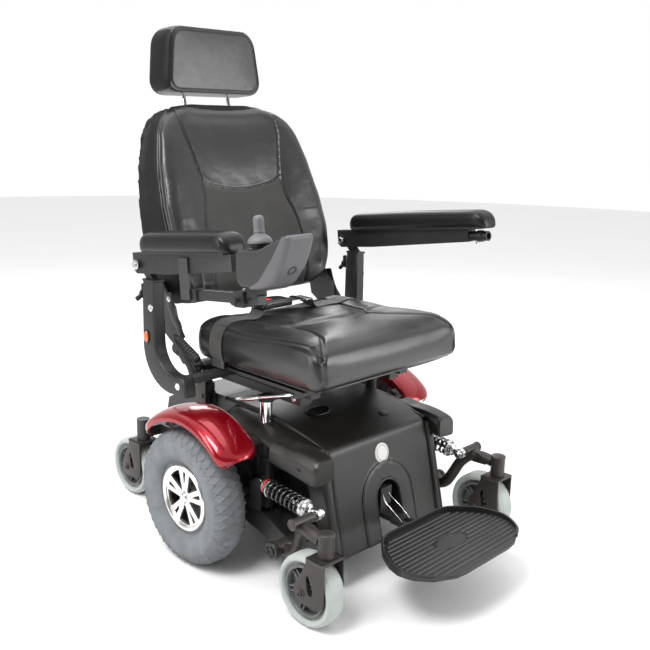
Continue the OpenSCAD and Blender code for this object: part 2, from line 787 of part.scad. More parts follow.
module seat_belt() color([0.14, 0.14, 0.15]) at_axle() {
    half = seat_w / 2 + 0.6;
    low = belt_y - belt_w / 2;
    high = belt_y + belt_w / 2;
    for (s = [RIGHT, LEFT]) {
        block([min(s * half, s * (half + 2)), low, 447], [max(s * half, s * (half + 2)), high, seat_top + 0.6]);
        block([min(s * 227, s * (half + 2)), low, 447], [max(s * 227, s * (half + 2)), high, 449]);
    }
    block([-half - 2, low, seat_top + 0.6], [-116, high, seat_top + 2.6]);
    block([44, low, seat_top + 0.6], [half + 2, high, seat_top + 2.6]);
}

module belt_buckle() color(charcoal) at_axle() difference() {
    union() {
        block([-115.5, belt_y - 27, seat_top + 0.6], [-22, belt_y + 27, seat_top + 22]);
        block([-21.5, belt_y - 19, seat_top + 8], [43.5, belt_y + 19, seat_top + 11]);
        block([22, belt_y - 24, seat_top + 0.6], [43.5, belt_y + 24, seat_top + 13]);
    }
    block([-106, belt_y - 17.3, seat_top + 12], [-79.5, belt_y + 17.3, seat_top + 30]);
}

module belt_button() color(red) at_axle()
    block([-105.7, belt_y - 17, seat_top + 16.5], [-79.8, belt_y + 17, seat_top + 24]);

// ---- cable ----

// Route of the joystick cable behind the right armrest, from its clip to the base, by hand
cable_route = [
    [-300, 141, 600], [-301, 147, 570], [-302, 152, 540], [-302, 156, 510], [-300, 159, 480],
    [-296, 162, 450], [-288, 168, 422], [-274, 178, 398], [-252, 192, 378], [-222, 208, 366],
    [-188, 224, 360], [-156, 238, 356], [-128, 246, 350], [-110, 250, 340], [-100, 250, 326]
];
cable_r = 3.5;
cable_sides = 8;
cable_n = len(cable_route) - 1;
function unit(v) = v / norm(v);
function cable_dir(i) = unit(cable_route[min(i + 1, cable_n)] - cable_route[max(i - 1, 0)]);
function cable_ring(i) = let (
    d = cable_dir(i),
    a = unit(cross(d, [0.8, 0.6, 0])),
    b = cross(d, a)
) [for (k = [0 : cable_sides - 1]) let (t = k * 360 / cable_sides)
    cable_route[i] + cable_r * (cos(t) * a + sin(t) * b)];

module joystick_cable() color(vinyl) at_axle() polyhedron(
    points = [for (i = [0 : cable_n]) each cable_ring(i)],
    faces = tube_faces(cable_n, cable_sides), convexity = 6);

module front_fork(s) color(steel) caster_place(s, front_track, -front_swivel_y) fork();
module front_hub(s) color(steel) caster_place(s, front_track, -front_swivel_y) caster_hub();
module front_tyre(s) color(tyre_grey) caster_place(s, front_track, -front_swivel_y) caster_tyre();
module rear_fork(s) color(steel) caster_place(s, rear_track, rear_swivel_y) fork();
module rear_hub(s) color(steel) caster_place(s, rear_track, rear_swivel_y) caster_hub();
module rear_tyre(s) color(tyre_grey) caster_place(s, rear_track, rear_swivel_y) caster_tyre();

chassis_frame();
front_shroud();
rear_cover();
batteries();
control_module();
fenders();
drive_motors();
seat_base_frame();
drive_tyre(RIGHT);  // drive_tyre_right
drive_tyre(LEFT);  // drive_tyre_left
drive_rim(RIGHT);  // drive_rim_right
drive_rim(LEFT);  // drive_rim_left
front_arm(RIGHT);  // front_arm_right
front_arm(LEFT);  // front_arm_left
shock_body(RIGHT);  // shock_body_right
shock_body(LEFT);  // shock_body_left
shock_rod(RIGHT);  // shock_rod_right
shock_rod(LEFT);  // shock_rod_left
shock_spring(RIGHT);  // shock_spring_right
shock_spring(LEFT);  // shock_spring_left
front_fork(RIGHT);  // front_fork_right
front_fork(LEFT);  // front_fork_left
front_hub(RIGHT);  // front_hub_right
front_hub(LEFT);  // front_hub_left
front_tyre(RIGHT);  // front_tyre_right
front_tyre(LEFT);  // front_tyre_left
rear_fork(RIGHT);  // rear_fork_right
rear_fork(LEFT);  // rear_fork_left
rear_hub(RIGHT);  // rear_hub_right
rear_hub(LEFT);  // rear_hub_left
rear_tyre(RIGHT);  // rear_tyre_right
rear_tyre(LEFT);  // rear_tyre_left
footrest_stem();
footplate();
seat_pan();
seat_cushion();
slide_lever();
armrest_receivers();
back_frame();
back_cushion();
recline_lever();
headrest_posts();
headrest();
arm_post(RIGHT);  // arm_post_right
arm_post(LEFT);  // arm_post_left
arm_bar(RIGHT);  // arm_bar_right
arm_bar(LEFT);  // arm_bar_left
arm_pad(RIGHT);  // arm_pad_right
arm_pad(LEFT);  // arm_pad_left
star_knob(RIGHT);  // star_knob_right
star_knob(LEFT);  // star_knob_left
controller_bracket();
controller_case();
joystick_gimbal();
joystick();
power_button();
seat_belt();
belt_buckle();
belt_button();
joystick_cable();
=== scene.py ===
import math

import bpy
import bmesh
import numpy as np
from mathutils import Matrix, Vector
from mathutils.bvhtree import BVHTree


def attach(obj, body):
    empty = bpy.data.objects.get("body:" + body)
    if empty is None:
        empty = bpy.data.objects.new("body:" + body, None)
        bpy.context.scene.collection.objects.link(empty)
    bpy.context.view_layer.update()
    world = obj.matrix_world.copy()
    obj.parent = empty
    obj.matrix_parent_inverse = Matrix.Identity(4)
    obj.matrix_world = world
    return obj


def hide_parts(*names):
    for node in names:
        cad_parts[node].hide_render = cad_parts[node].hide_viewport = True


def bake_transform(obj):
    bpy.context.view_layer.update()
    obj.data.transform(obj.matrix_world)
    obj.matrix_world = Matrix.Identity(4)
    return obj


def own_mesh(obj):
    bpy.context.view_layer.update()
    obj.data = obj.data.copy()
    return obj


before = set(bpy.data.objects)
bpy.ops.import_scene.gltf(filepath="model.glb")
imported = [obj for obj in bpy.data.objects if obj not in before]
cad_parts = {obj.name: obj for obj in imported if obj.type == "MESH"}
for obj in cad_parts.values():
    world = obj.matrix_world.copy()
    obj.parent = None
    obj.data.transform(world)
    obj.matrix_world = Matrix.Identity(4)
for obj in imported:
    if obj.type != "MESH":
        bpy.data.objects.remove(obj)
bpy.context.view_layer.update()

RIGHT, LEFT = -1, 1
NAME = {RIGHT: "right", LEFT: "left"}
AXLE_Y = 61.0                      # drive axle behind the origin, mm
MM = 0.001


def place(points):
    """Drive-axle millimetres to row-frame metres."""
    p = np.asarray(points, float).reshape(-1, 3)
    return (p + [0, AXLE_Y, 0]) * MM


def rot_x(degrees):
    a = math.radians(degrees)
    c, s = math.cos(a), math.sin(a)
    return np.array([[1, 0, 0], [0, c, -s], [0, s, c]])


# ---------------------------------------------------------------- materials

def socket(node, *names):
    for n in names:
        if n in node.inputs:
            return node.inputs[n]


def material(name, color, rough=0.5, metal=0.0, coat=0.0, coat_rough=0.05, spec=0.5, sheen=0.0,
             vary=0.15, vary_scale=14.0, rough_vary=0.08, bumps=(), edge=0.0):
    """A Principled surface whose colour, roughness and bump vary with procedural noise; edge paints a lighter
    colour on convex edges as a painted highlight.
    """
    m = bpy.data.materials.new(name)
    m.use_nodes = True
    nt = m.node_tree
    bsdf = nt.nodes["Principled BSDF"]
    bsdf.inputs["Metallic"].default_value = metal
    socket(bsdf, "Specular IOR Level").default_value = spec
    socket(bsdf, "Coat Weight").default_value = coat
    socket(bsdf, "Coat Roughness").default_value = coat_rough
    socket(bsdf, "Sheen Weight").default_value = sheen
    tc = nt.nodes.new("ShaderNodeTexCoord")
    noise = nt.nodes.new("ShaderNodeTexNoise")
    noise.inputs["Scale"].default_value = vary_scale
    noise.inputs["Detail"].default_value = 6.0
    nt.links.new(tc.outputs["Object"], noise.inputs["Vector"])
    ramp = nt.nodes.new("ShaderNodeValToRGB")
    lo, hi = 1 - vary, 1 + vary
    ramp.color_ramp.elements[0].position = 0.3
    ramp.color_ramp.elements[1].position = 0.7
    ramp.color_ramp.elements[0].color = (color[0] * lo, color[1] * lo, color[2] * lo, 1)
    ramp.color_ramp.elements[1].color = (min(1, color[0] * hi), min(1, color[1] * hi),
                                         min(1, color[2] * hi), 1)
    nt.links.new(noise.outputs["Fac"], ramp.inputs["Fac"])
    out = ramp.outputs["Color"]
    # painted highlight: convex edges, found by pointiness, are mixed towards a lighter colour
    if edge:
        geo = nt.nodes.new("ShaderNodeNewGeometry")
        edge_highlight_mask = nt.nodes.new("ShaderNodeMapRange")
        edge_highlight_mask.inputs["From Min"].default_value = 0.53
        edge_highlight_mask.inputs["From Max"].default_value = 0.62
        edge_highlight_mask.inputs["To Max"].default_value = edge
        nt.links.new(geo.outputs["Pointiness"], edge_highlight_mask.inputs["Value"])
        mix = nt.nodes.new("ShaderNodeMix")
        mix.data_type = "RGBA"
        mix.inputs["B"].default_value = (min(1, color[0] * 2.2 + 0.05), min(1, color[1] * 2.2 + 0.05),
                                         min(1, color[2] * 2.2 + 0.05), 1)
        nt.links.new(edge_highlight_mask.outputs["Result"], mix.inputs["Factor"])
        nt.links.new(out, mix.inputs["A"])
        out = mix.outputs["Result"]
    nt.links.new(out, bsdf.inputs["Base Color"])
    rr = nt.nodes.new("ShaderNodeMapRange")
    rr.inputs["To Min"].default_value = max(0.02, rough - rough_vary)
    rr.inputs["To Max"].default_value = min(1.0, rough + rough_vary)
    fine = nt.nodes.new("ShaderNodeTexNoise")
    fine.inputs["Scale"].default_value = vary_scale * 5
    fine.inputs["Detail"].default_value = 4.0
    nt.links.new(tc.outputs["Object"], fine.inputs["Vector"])
    nt.links.new(fine.outputs["Fac"], rr.inputs["Value"])
    nt.links.new(rr.outputs["Result"], bsdf.inputs["Roughness"])
    normal = None
    for kind, scale, strength, depth in bumps:
        if kind == "noise":
            t = nt.nodes.new("ShaderNodeTexNoise")
            t.inputs["Detail"].default_value = 3.0
            height = t.outputs["Fac"]
        elif kind == "cells":
            t = nt.nodes.new("ShaderNodeTexVoronoi")
            t.feature = "SMOOTH_F1"
            height = t.outputs["Distance"]
        elif kind == "wave":
            t = nt.nodes.new("ShaderNodeTexWave")
            t.inputs["Distortion"].default_value = 0.6
            t.inputs["Detail Scale"].default_value = 2.0
            height = t.outputs["Fac"]
        t.inputs["Scale"].default_value = scale
        nt.links.new(tc.outputs["Object"], t.inputs["Vector"])
        b = nt.nodes.new("ShaderNodeBump")
        b.inputs["Strength"].default_value = strength
        b.inputs["Distance"].default_value = depth
        nt.links.new(height, b.inputs["Height"])
        if normal is not None:
            nt.links.new(normal, b.inputs["Normal"])
        normal = b.outputs["Normal"]
    if normal is not None:
        nt.links.new(normal, bsdf.inputs["Normal"])
    return m


GRAIN = ("cells", 620, 0.30, 0.0006)
vinyl = material("vinyl", (0.0080, 0.0078, 0.0074), 0.33, spec=0.78, vary=0.2, vary_scale=9, rough_vary=0.05,
                 bumps=(("noise", 26, 0.16, 0.005), GRAIN))
vinyl_side = material("vinyl_side", (0.0058, 0.0052, 0.0050), 0.56, spec=0.22, vary=0.2, vary_scale=9,
                      bumps=(("noise", 30, 0.2, 0.004), GRAIN))
foam_skin = material("foam_skin", (0.0056, 0.0050, 0.0048), 0.36, spec=0.34, vary=0.2, vary_scale=16,
                     rough_vary=0.06, bumps=(("noise", 260, 0.14, 0.0006), ("noise", 25, 0.12, 0.003)))
shell_mat = material("shell", (0.014, 0.0125, 0.0115), 0.38, spec=0.5, vary=0.16, vary_scale=7,
                     rough_vary=0.07, bumps=(("noise", 900, 0.16, 0.0004), ("noise", 9, 0.08, 0.006)))
red_paint = material("red_paint", (0.30, 0.0015, 0.010), 0.26, metal=0.55, spec=0.3, coat=0.8,
                     coat_rough=0.04, vary=0.12, vary_scale=1400, rough_vary=0.05,
                     bumps=(("noise", 45, 0.03, 0.002),))
fender_under = material("fender_under", (0.34, 0.17, 0.18), 0.5, vary=0.12, vary_scale=20,
                        bumps=(("noise", 300, 0.12, 0.0005),))
# edge= in powder, bracket and motor paints a lighter colour on their convex edges, a painted highlight
powder = material("powder_coat", (0.010, 0.0095, 0.0095), 0.46, spec=0.5, vary=0.2, vary_scale=20, edge=0.25,
                  bumps=(("noise", 1100, 0.22, 0.0004),))
bracket = material("bracket_paint", (0.040, 0.034, 0.032), 0.42, metal=0.35, vary=0.12, vary_scale=18,
                   edge=0.3, bumps=(("noise", 800, 0.14, 0.0004),))
battery_mat = material("battery", (0.05, 0.05, 0.055), 0.5, bumps=(("noise", 300, 0.15, 0.0005),))
motor_mat = material("motor", (0.03, 0.03, 0.032), 0.45, edge=0.2, bumps=(("noise", 700, 0.2, 0.0004),))
tyre_mat = material("drive_tyre", (0.175, 0.185, 0.195), 0.78, spec=0.3, vary=0.14, vary_scale=30,
                    rough_vary=0.08, bumps=(("noise", 700, 0.2, 0.0005), ("noise", 60, 0.1, 0.002)))
caster_mat = material("caster_tyre", (0.40, 0.43, 0.41), 0.62, spec=0.35, vary=0.07, vary_scale=30,
                      rough_vary=0.08, bumps=(("noise", 600, 0.14, 0.0004),))
hub_mat = material("caster_hub", (0.11, 0.112, 0.115), 0.5, vary=0.12, vary_scale=40,
                   bumps=(("noise", 700, 0.16, 0.0004),))
alloy = material("polished_alloy", (0.86, 0.85, 0.83), 0.2, metal=0.92, vary=0.04, vary_scale=40,
                 rough_vary=0.06, bumps=(("noise", 220, 0.04, 0.0004),))
rim_dark = material("rim_dark", (0.012, 0.011, 0.011), 0.35, vary=0.2, bumps=(("noise", 500, 0.15, 0.0004),))
bright = material("bright_steel", (0.66, 0.66, 0.67), 0.26, metal=1.0, vary=0.06, vary_scale=60,
                  rough_vary=0.08, bumps=(("noise", 500, 0.08, 0.0003),))
chrome = material("chrome", (0.82, 0.82, 0.83), 0.08, metal=1.0, vary=0.03, vary_scale=60, rough_vary=0.03,
                  bumps=(("noise", 300, 0.02, 0.0002),))
spring_mat = material("spring_coat", (0.010, 0.010, 0.010), 0.16, spec=0.7, coat=0.6, vary=0.2,
                      bumps=(("noise", 400, 0.05, 0.0003),))
# edge= paints a lighter colour on the footplate's convex edges, a painted highlight
foot_mat = material("footplate", (0.010, 0.0092, 0.0090), 0.44, vary=0.18, vary_scale=22, edge=0.15,
                    bumps=(("noise", 800, 0.2, 0.0004),))
case_dark = material("case_dark", (0.022, 0.021, 0.022), 0.45, vary=0.12, vary_scale=26,
                     bumps=(("noise", 1100, 0.22, 0.0003),))
case_light = material("case_light", (0.090, 0.086, 0.094), 0.42, vary=0.08, vary_scale=26,
                      bumps=(("noise", 1200, 0.12, 0.0003),))
knob_mat = material("knob", (0.12, 0.12, 0.125), 0.55, vary=0.1, vary_scale=40,
                    bumps=(("noise", 900, 0.15, 0.0003),))
black_rubber = material("black_rubber", (0.012, 0.012, 0.012), 0.6, vary=0.2, vary_scale=40,
                        bumps=(("noise", 600, 0.2, 0.0004),))
webbing = material("webbing", (0.050, 0.048, 0.046), 0.75, sheen=0.3, vary=0.25, vary_scale=60,
                   bumps=(("wave", 160, 0.55, 0.0011), ("noise", 1200, 0.3, 0.0006)))
buckle_mat = material("buckle", (0.012, 0.012, 0.012), 0.25, vary=0.2, vary_scale=40,
                      bumps=(("noise", 500, 0.06, 0.0003),))
button_red = material("button_red", (0.62, 0.015, 0.02), 0.28, vary=0.08, vary_scale=60,
                      bumps=(("noise", 600, 0.06, 0.0003),))
orange = material("reflector", (0.75, 0.12, 0.01), 0.22, coat=0.6, vary=0.12, vary_scale=300,
                  bumps=(("cells", 900, 0.5, 0.0006),))
disc_mat = material("emblem_disc", (0.78, 0.77, 0.75), 0.32, vary=0.03, vary_scale=60,
                    bumps=(("noise", 500, 0.05, 0.0003),))
thread = material("thread", (0.030, 0.029, 0.028), 0.7, vary=0.2, vary_scale=200,
                  bumps=(("noise", 2500, 0.3, 0.0003),))
cable_mat = material("cable", (0.012, 0.012, 0.012), 0.45, vary=0.2, vary_scale=60,
                     bumps=(("noise", 700, 0.12, 0.0003),))


def perforated():
    """Black fabric with a slanted grid of small round dimples."""
    m = material("perforated_fabric", (0.030, 0.029, 0.027), 0.58, spec=0.35, sheen=0.15, vary=0.15,
                 vary_scale=12)
    nt = m.node_tree
    bsdf = nt.nodes["Principled BSDF"]
    tc = nt.nodes.new("ShaderNodeTexCoord")
    mp = nt.nodes.new("ShaderNodeMapping")
    mp.inputs["Rotation"].default_value = (0, math.radians(33), 0)
    mp.inputs["Scale"].default_value = (230, 0, 230)
    nt.links.new(tc.outputs["Object"], mp.inputs["Vector"])
    fr = nt.nodes.new("ShaderNodeVectorMath")
    fr.operation = "FRACTION"
    nt.links.new(mp.outputs["Vector"], fr.inputs[0])
    sub = nt.nodes.new("ShaderNodeVectorMath")
    sub.operation = "SUBTRACT"
    sub.inputs[1].default_value = (0.5, 0, 0.5)
    nt.links.new(fr.outputs["Vector"], sub.inputs[0])
    ln = nt.nodes.new("ShaderNodeVectorMath")
    ln.operation = "LENGTH"
    nt.links.new(sub.outputs["Vector"], ln.inputs[0])
    mr = nt.nodes.new("ShaderNodeMapRange")
    mr.inputs["From Min"].default_value = 0.18
    mr.inputs["From Max"].default_value = 0.32
    nt.links.new(ln.outputs["Value"], mr.inputs["Value"])
    base = bsdf.inputs["Base Color"].links[0].from_socket
    mix = nt.nodes.new("ShaderNodeMix")
    mix.data_type = "RGBA"
    mix.inputs["A"].default_value = (0.008, 0.008, 0.008, 1)
    nt.links.new(mr.outputs["Result"], mix.inputs["Factor"])
    nt.links.new(base, mix.inputs["B"])
    nt.links.new(mix.outputs["Result"], bsdf.inputs["Base Color"])
    b = nt.nodes.new("ShaderNodeBump")
    b.inputs["Strength"].default_value = 0.6
    b.inputs["Distance"].default_value = 0.0008
    nt.links.new(mr.outputs["Result"], b.inputs["Height"])
    nt.links.new(b.outputs["Normal"], bsdf.inputs["Normal"])
    return m


perf = perforated()


# ---------------------------------------------------------------- geometry

class Geo:
    """Vertices and faces in drive-axle millimetres."""

    def __init__(self):
        self.v = []
        self.f = []

    def add(self, v, f):
        n = len(self.v)
        self.v += [tuple(p) for p in v]
        self.f += [tuple(i + n for i in q) for q in f]
        return self

    def merge(self, other, move=(0, 0, 0), turn=None):
        v = np.asarray(other.v, float)
        if turn is not None:
            v = v @ np.asarray(turn).T
        return self.add(v + move, other.f)

    def mapped(self, fn):
        g = Geo()
        g.v = [tuple(p) for p in fn(np.asarray(self.v, float))]
        g.f = list(self.f)
        return g

    def flipped(self, s):
        """Mirrored to the side s of the chair."""
        if s > 0:
            return self
        g = Geo()
        g.v = [(-x, y, z) for x, y, z in self.v]
        g.f = [tuple(reversed(q)) for q in self.f]
        return g


def grid(rings, loop=True, closed=False, caps=True):
    """A skin through rings of equal length: loop closes each ring, and closed joins the last to the first."""
    rings = np.asarray(rings, float)
    n, m = rings.shape[:2]
    f = []
    for i in range(n if closed else n - 1):
        j = (i + 1) % n
        for k in range(m if loop else m - 1):
            l = (k + 1) % m
            f.append((i * m + k, i * m + l, j * m + l, j * m + k))
    if caps and loop and not closed:
        f.append(tuple(reversed(range(m))))
        f.append(tuple((n - 1) * m + k for k in range(m)))
    return Geo().add(rings.reshape(-1, 3), f)


def smooth_path(points, steps=8):
    """Catmull-Rom through the points."""
    p = np.asarray(points, float)
    p = np.vstack([2 * p[0] - p[1], p, 2 * p[-1] - p[-2]])
    out = []
    for i in range(1, len(p) - 2):
        for t in np.linspace(0, 1, steps, endpoint=False):
            a, b, c, d = p[i - 1], p[i], p[i + 1], p[i + 2]
            out.append(0.5 * ((2 * b) + (c - a) * t + (2 * a - 5 * b + 4 * c - d) * t ** 2
                              + (3 * b - a - 3 * c + d) * t ** 3))
    out.append(p[-2])
    return np.array(out)


def frames(path, up=(0, 0, 1)):
    """Tangent, side and up directions along a path, without twist."""
    p = np.asarray(path, float)
    t = np.gradient(p, axis=0)
    t /= np.linalg.norm(t, axis=1)[:, None]
    u = np.asarray(up, float)
    if abs(u @ t[0]) > 0.95:
        u = np.array([1.0, 0, 0])
    out = []
    for d in t:
        u = u - (u @ d) * d
        u /= np.linalg.norm(u)
        out.append((d, np.cross(d, u), u))
    return out


def tube(path, r, sides=16, up=(0, 0, 1), shape=None):
    """A round bar, or any closed section given as (side, up) pairs, swept along a path."""
    fr = frames(path, up)
    a = np.linspace(0, 2 * math.pi, sides, endpoint=False)
    sec = np.column_stack([np.cos(a), np.sin(a)]) * r if shape is None else np.asarray(shape, float)
    rings = []
    for p, (_, s, u) in zip(np.asarray(path, float), fr):
        rings.append([p + x * s + y * u for x, y in sec])
    return grid(rings)


def lathe(profile, origin, axis, segs=48, caps=True):
    """A profile of (radius, along) turned about an axis through origin."""
    a = np.asarray(axis, float)
    a /= np.linalg.norm(a)
    h = np.array([1.0, 0, 0]) if abs(a[0]) < 0.9 else np.array([0, 1.0, 0])
    u = np.cross(a, h)
    u /= np.linalg.norm(u)
    w = np.cross(a, u)
    ang = np.linspace(0, 2 * math.pi, segs, endpoint=False)
    rings = [[np.asarray(origin, float) + t * a + r * (math.cos(q) * u + math.sin(q) * w) for q in ang]
             for r, t in profile]
    return grid(rings, caps=caps)


def rbox(lo, hi, r=1.5, steps=2):
    """A box with rounded edges."""
    bm = bmesh.new()
    lo, hi = np.minimum(lo, hi), np.maximum(lo, hi)
    bmesh.ops.create_cube(bm, size=1.0)
    for v in bm.verts:
        v.co = Vector([(lo[i] + hi[i]) / 2 + v.co[i] * (hi[i] - lo[i]) for i in range(3)])
    bmesh.ops.bevel(bm, geom=list(bm.edges), offset=r, segments=steps, profile=0.6, affect="EDGES")
    g = Geo()
    bm.verts.index_update()
    g.add([tuple(v.co) for v in bm.verts], [tuple(v.index for v in f.verts) for f in bm.faces])
    bm.free()
    return g


def plate(loops, thick, bevel=0.8, origin=(0, 0, 0), ex=(0, 1, 0), ey=(0, 0, 1), steps=2):
    """A flat plate with rounded edges, thick mm deep, centred on the plane of ex and ey. The first loop is
    its outline and the others are holes."""
    cu = bpy.data.curves.new("outline", "CURVE")
    cu.dimensions = "2D"
    cu.fill_mode = "BOTH"
    cu.extrude = thick / 2 - bevel
    cu.bevel_depth = bevel
    cu.offset = -bevel
    cu.bevel_resolution = steps
    for loop in loops:
        sp = cu.splines.new("POLY")
        sp.points.add(len(loop) - 1)
        for q, (x, y) in zip(sp.points, loop):
            q.co = (x, y, 0, 1)
        sp.use_cyclic_u = True
    ob = bpy.data.objects.new("outline", cu)
    bpy.context.scene.collection.objects.link(ob)
    dg = bpy.context.evaluated_depsgraph_get()
    me = bpy.data.meshes.new_from_object(ob.evaluated_get(dg))
    bm = bmesh.new()
    bm.from_mesh(me)
    bmesh.ops.remove_doubles(bm, verts=bm.verts, dist=0.02)
    bm.verts.index_update()
    x, y = np.asarray(ex, float), np.asarray(ey, float)
    z = np.cross(x, y)
    v = [np.asarray(origin, float) + q.co.x * x + q.co.y * y + q.co.z * z for q in bm.verts]
    g = Geo().add(v, [tuple(q.index for q in f.verts) for f in bm.faces])
    bm.free()
    bpy.data.objects.remove(ob)
    bpy.data.meshes.remove(me)
    bpy.data.curves.remove(cu)
    return g


def arc(cx, cy, r, a0, a1, n=8):
    return [(cx + r * math.cos(math.radians(a)), cy + r * math.sin(math.radians(a)))
            for a in np.linspace(a0, a1, n)]


def ring_pts(cx, cy, r, n=32):
    return arc(cx, cy, r, 0, 360 - 360 / n, n)


def mirrored(half, middle=()):
    """A symmetrical line: the half's points at -x, then middle, then the half backwards at +x."""
    return [(-x, y) for x, y in half] + list(middle) + [(x, y) for x, y in reversed(half)]


def soft_rect(w, h, r, n=6):
    out = []
    for sx, sy, a in ((1, 1, 0), (-1, 1, 90), (-1, -1, 180), (1, -1, 270)):
        out += arc(sx * (w / 2 - r), sy * (h / 2 - r), r, a, a + 90, n)
    return out


def bolt(pos, axis, r=5.0, h=4.0):
    """A hexagon head on a washer."""
    g = lathe([(0.3, 0), (r * 1.5, 0), (r * 1.5, 1.0), (r * 1.4, 1.2), (0.3, 1.2)], pos, axis, 24)
    top = np.asarray(pos, float) + np.asarray(axis, float) / np.linalg.norm(axis) * 1.2
    g.merge(lathe([(r, 0), (r, h * 0.8), (r * 0.88, h), (0.2, h)], top, axis, 6))
    return g


def soften(ob, width):
    """Rounds an object's sharp edges by width, in millimetres."""
    b = ob.modifiers.new("edges", "BEVEL")
    b.width = width * MM
    b.segments = 2
    b.limit_method = "ANGLE"
    b.angle_limit = math.radians(40)


def piece(name, geo, mat, body, replaces=(), bevel=0.0, angle=35, subd=0, fix=True):
    """Makes the object, in metres, with its material and body, and hides the CAD parts it replaces."""
    me = bpy.data.meshes.new(name)
    me.from_pydata([tuple(p) for p in place(geo.v)], [], [tuple(int(i) for i in q) for q in geo.f])
    if fix:
        bm = bmesh.new()
        bm.from_mesh(me)
        bmesh.ops.recalc_face_normals(bm, faces=bm.faces)
        bm.to_mesh(me)
        bm.free()
    me.shade_smooth()
    if angle < 180:
        me.set_sharp_from_angle(angle=math.radians(angle))
    ob = bpy.data.objects.new(name, me)
    bpy.context.scene.collection.objects.link(ob)
    me.materials.append(mat)
    if bevel:
        soften(ob, bevel)
    if subd:
        s = ob.modifiers.new("round", "SUBSURF")
        s.levels = s.render_levels = subd
    if body:
        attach(ob, body)
    if replaces:
        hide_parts(*replaces)
    return ob


def repaint(node, mat, bevel=0.0):
    """A carried CAD node gets its material, and softened edges."""
    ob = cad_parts[node]
    if not ob.material_slots:
        ob.data.materials.append(mat)
    for s in ob.material_slots:
        s.material = mat
    if bevel:
        soften(ob, bevel)


# ---------------------------------------------------------------- camera, light, floor

def camera():
    yaw, pitch, roll = (math.radians(a) for a in (45.346, -13.712, 1.310))
    d = Vector((math.sin(yaw) * math.cos(pitch), math.cos(yaw) * math.cos(pitch), math.sin(pitch)))
    r0 = d.cross(Vector((0, 0, 1))).normalized()
    u0 = r0.cross(d)
    r = math.cos(roll) * r0 + math.sin(roll) * u0
    u = -math.sin(roll) * r0 + math.cos(roll) * u0
    cam = bpy.data.cameras.new("camera")
    cam.sensor_width = 36
    cam.lens = 47.6557
    cam.clip_end = 50
    ob = bpy.data.objects.new("camera", cam)
    ob.matrix_world = Matrix(((r.x, u.x, -d.x, -1.4164), (r.y, u.y, -d.y, -1.4444), (r.z, u.z, -d.z, 1.01995),
                              (0, 0, 0, 1)))
    bpy.context.scene.collection.objects.link(ob)
    bpy.context.scene.camera = ob


def light(name, kind, loc, target, energy, size):
    li = bpy.data.lights.new(name, kind)
    li.energy = energy
    if kind == "AREA":
        li.shape = "RECTANGLE"
        li.size, li.size_y = size
    ob = bpy.data.objects.new(name, li)
    ob.location = loc
    ob.rotation_euler = (Vector(target) - Vector(loc)).to_track_quat("-Z", "Y").to_euler()
    bpy.context.scene.collection.objects.link(ob)
    return ob


def studio():
    scene = bpy.context.scene
    world = scene.world or bpy.data.worlds.new("world")
    scene.world = world
    world.use_nodes = True
    bg = world.node_tree.nodes["Background"]
    bg.inputs["Color"].default_value = (1.0, 1.0, 1.0, 1)
    # a pale room, dimmer on the side that the photographer stands on
    nt = world.node_tree
    tc = nt.nodes.new("ShaderNodeTexCoord")
    dot = nt.nodes.new("ShaderNodeVectorMath")
    dot.operation = "DOT_PRODUCT"
    dot.inputs[1].default_value = (0.70, 0.70, 0.12)
    ramp = nt.nodes.new("ShaderNodeMapRange")
    ramp.interpolation_type = "SMOOTHSTEP"
    ramp.inputs["From Min"].default_value = -0.25
    ramp.inputs["From Max"].default_value = 0.75
    ramp.inputs["To Min"].default_value = 0.16
    ramp.inputs["To Max"].default_value = 1.0
    nt.links.new(tc.outputs["Generated"], dot.inputs[0])
    nt.links.new(dot.outputs["Value"], ramp.inputs["Value"])
    nt.links.new(ramp.outputs["Result"], bg.inputs["Strength"])
    light("key", "AREA", (-1.7, -0.3, 2.7), (0, 0, 0.6), 70, (1.1, 1.1))
    light("front", "AREA", (1.7, -2.6, 1.3), (0, 0, 0.75), 50, (1.5, 1.5))
    light("top", "AREA", (0.2, 0.3, 3.2), (0, 0, 0.5), 22, (2.2, 2.2))
    sky = light("sky", "SUN", (0, 0, 4), (0, 0, 0), 1.25, None)
    sky.data.angle = math.radians(110)
    light("rear", "AREA", (1.8, 2.2, 2.0), (0, 0, 0.6), 24, (1.4, 1.4))
    light("side", "AREA", (-2.8, 1.0, 1.4), (0, 0, 0.5), 26, (0.6, 1.8))
    floor_mat = material("floor", (0.90, 0.90, 0.90), 0.75, vary=0.01, vary_scale=2,
                         bumps=(("noise", 120, 0.02, 0.0005),))
    bm = bmesh.new()
    n = 48
    ring = [bm.verts.new((9 * math.cos(2 * math.pi * i / n), 9 * math.sin(2 * math.pi * i / n), -0.0006))
            for i in range(n)]
    bm.faces.new(ring)
    me = bpy.data.meshes.new("floor")
    bm.to_mesh(me)
    bm.free()
    me.materials.append(floor_mat)
    ob = bpy.data.objects.new("floor", me)
    scene.collection.objects.link(ob)


camera()
studio()
scene = bpy.context.scene
scene.view_settings.view_transform = "Standard"

# ---------------------------------------------------------------- drive wheels

WHEEL_X, WHEEL_Z = 315.5, 159.0


def tri(t):
    """A triangle wave from -1 to 1, one cycle for each unit of t."""
    return 4 * np.abs((t % 1.0) - 0.5) - 1


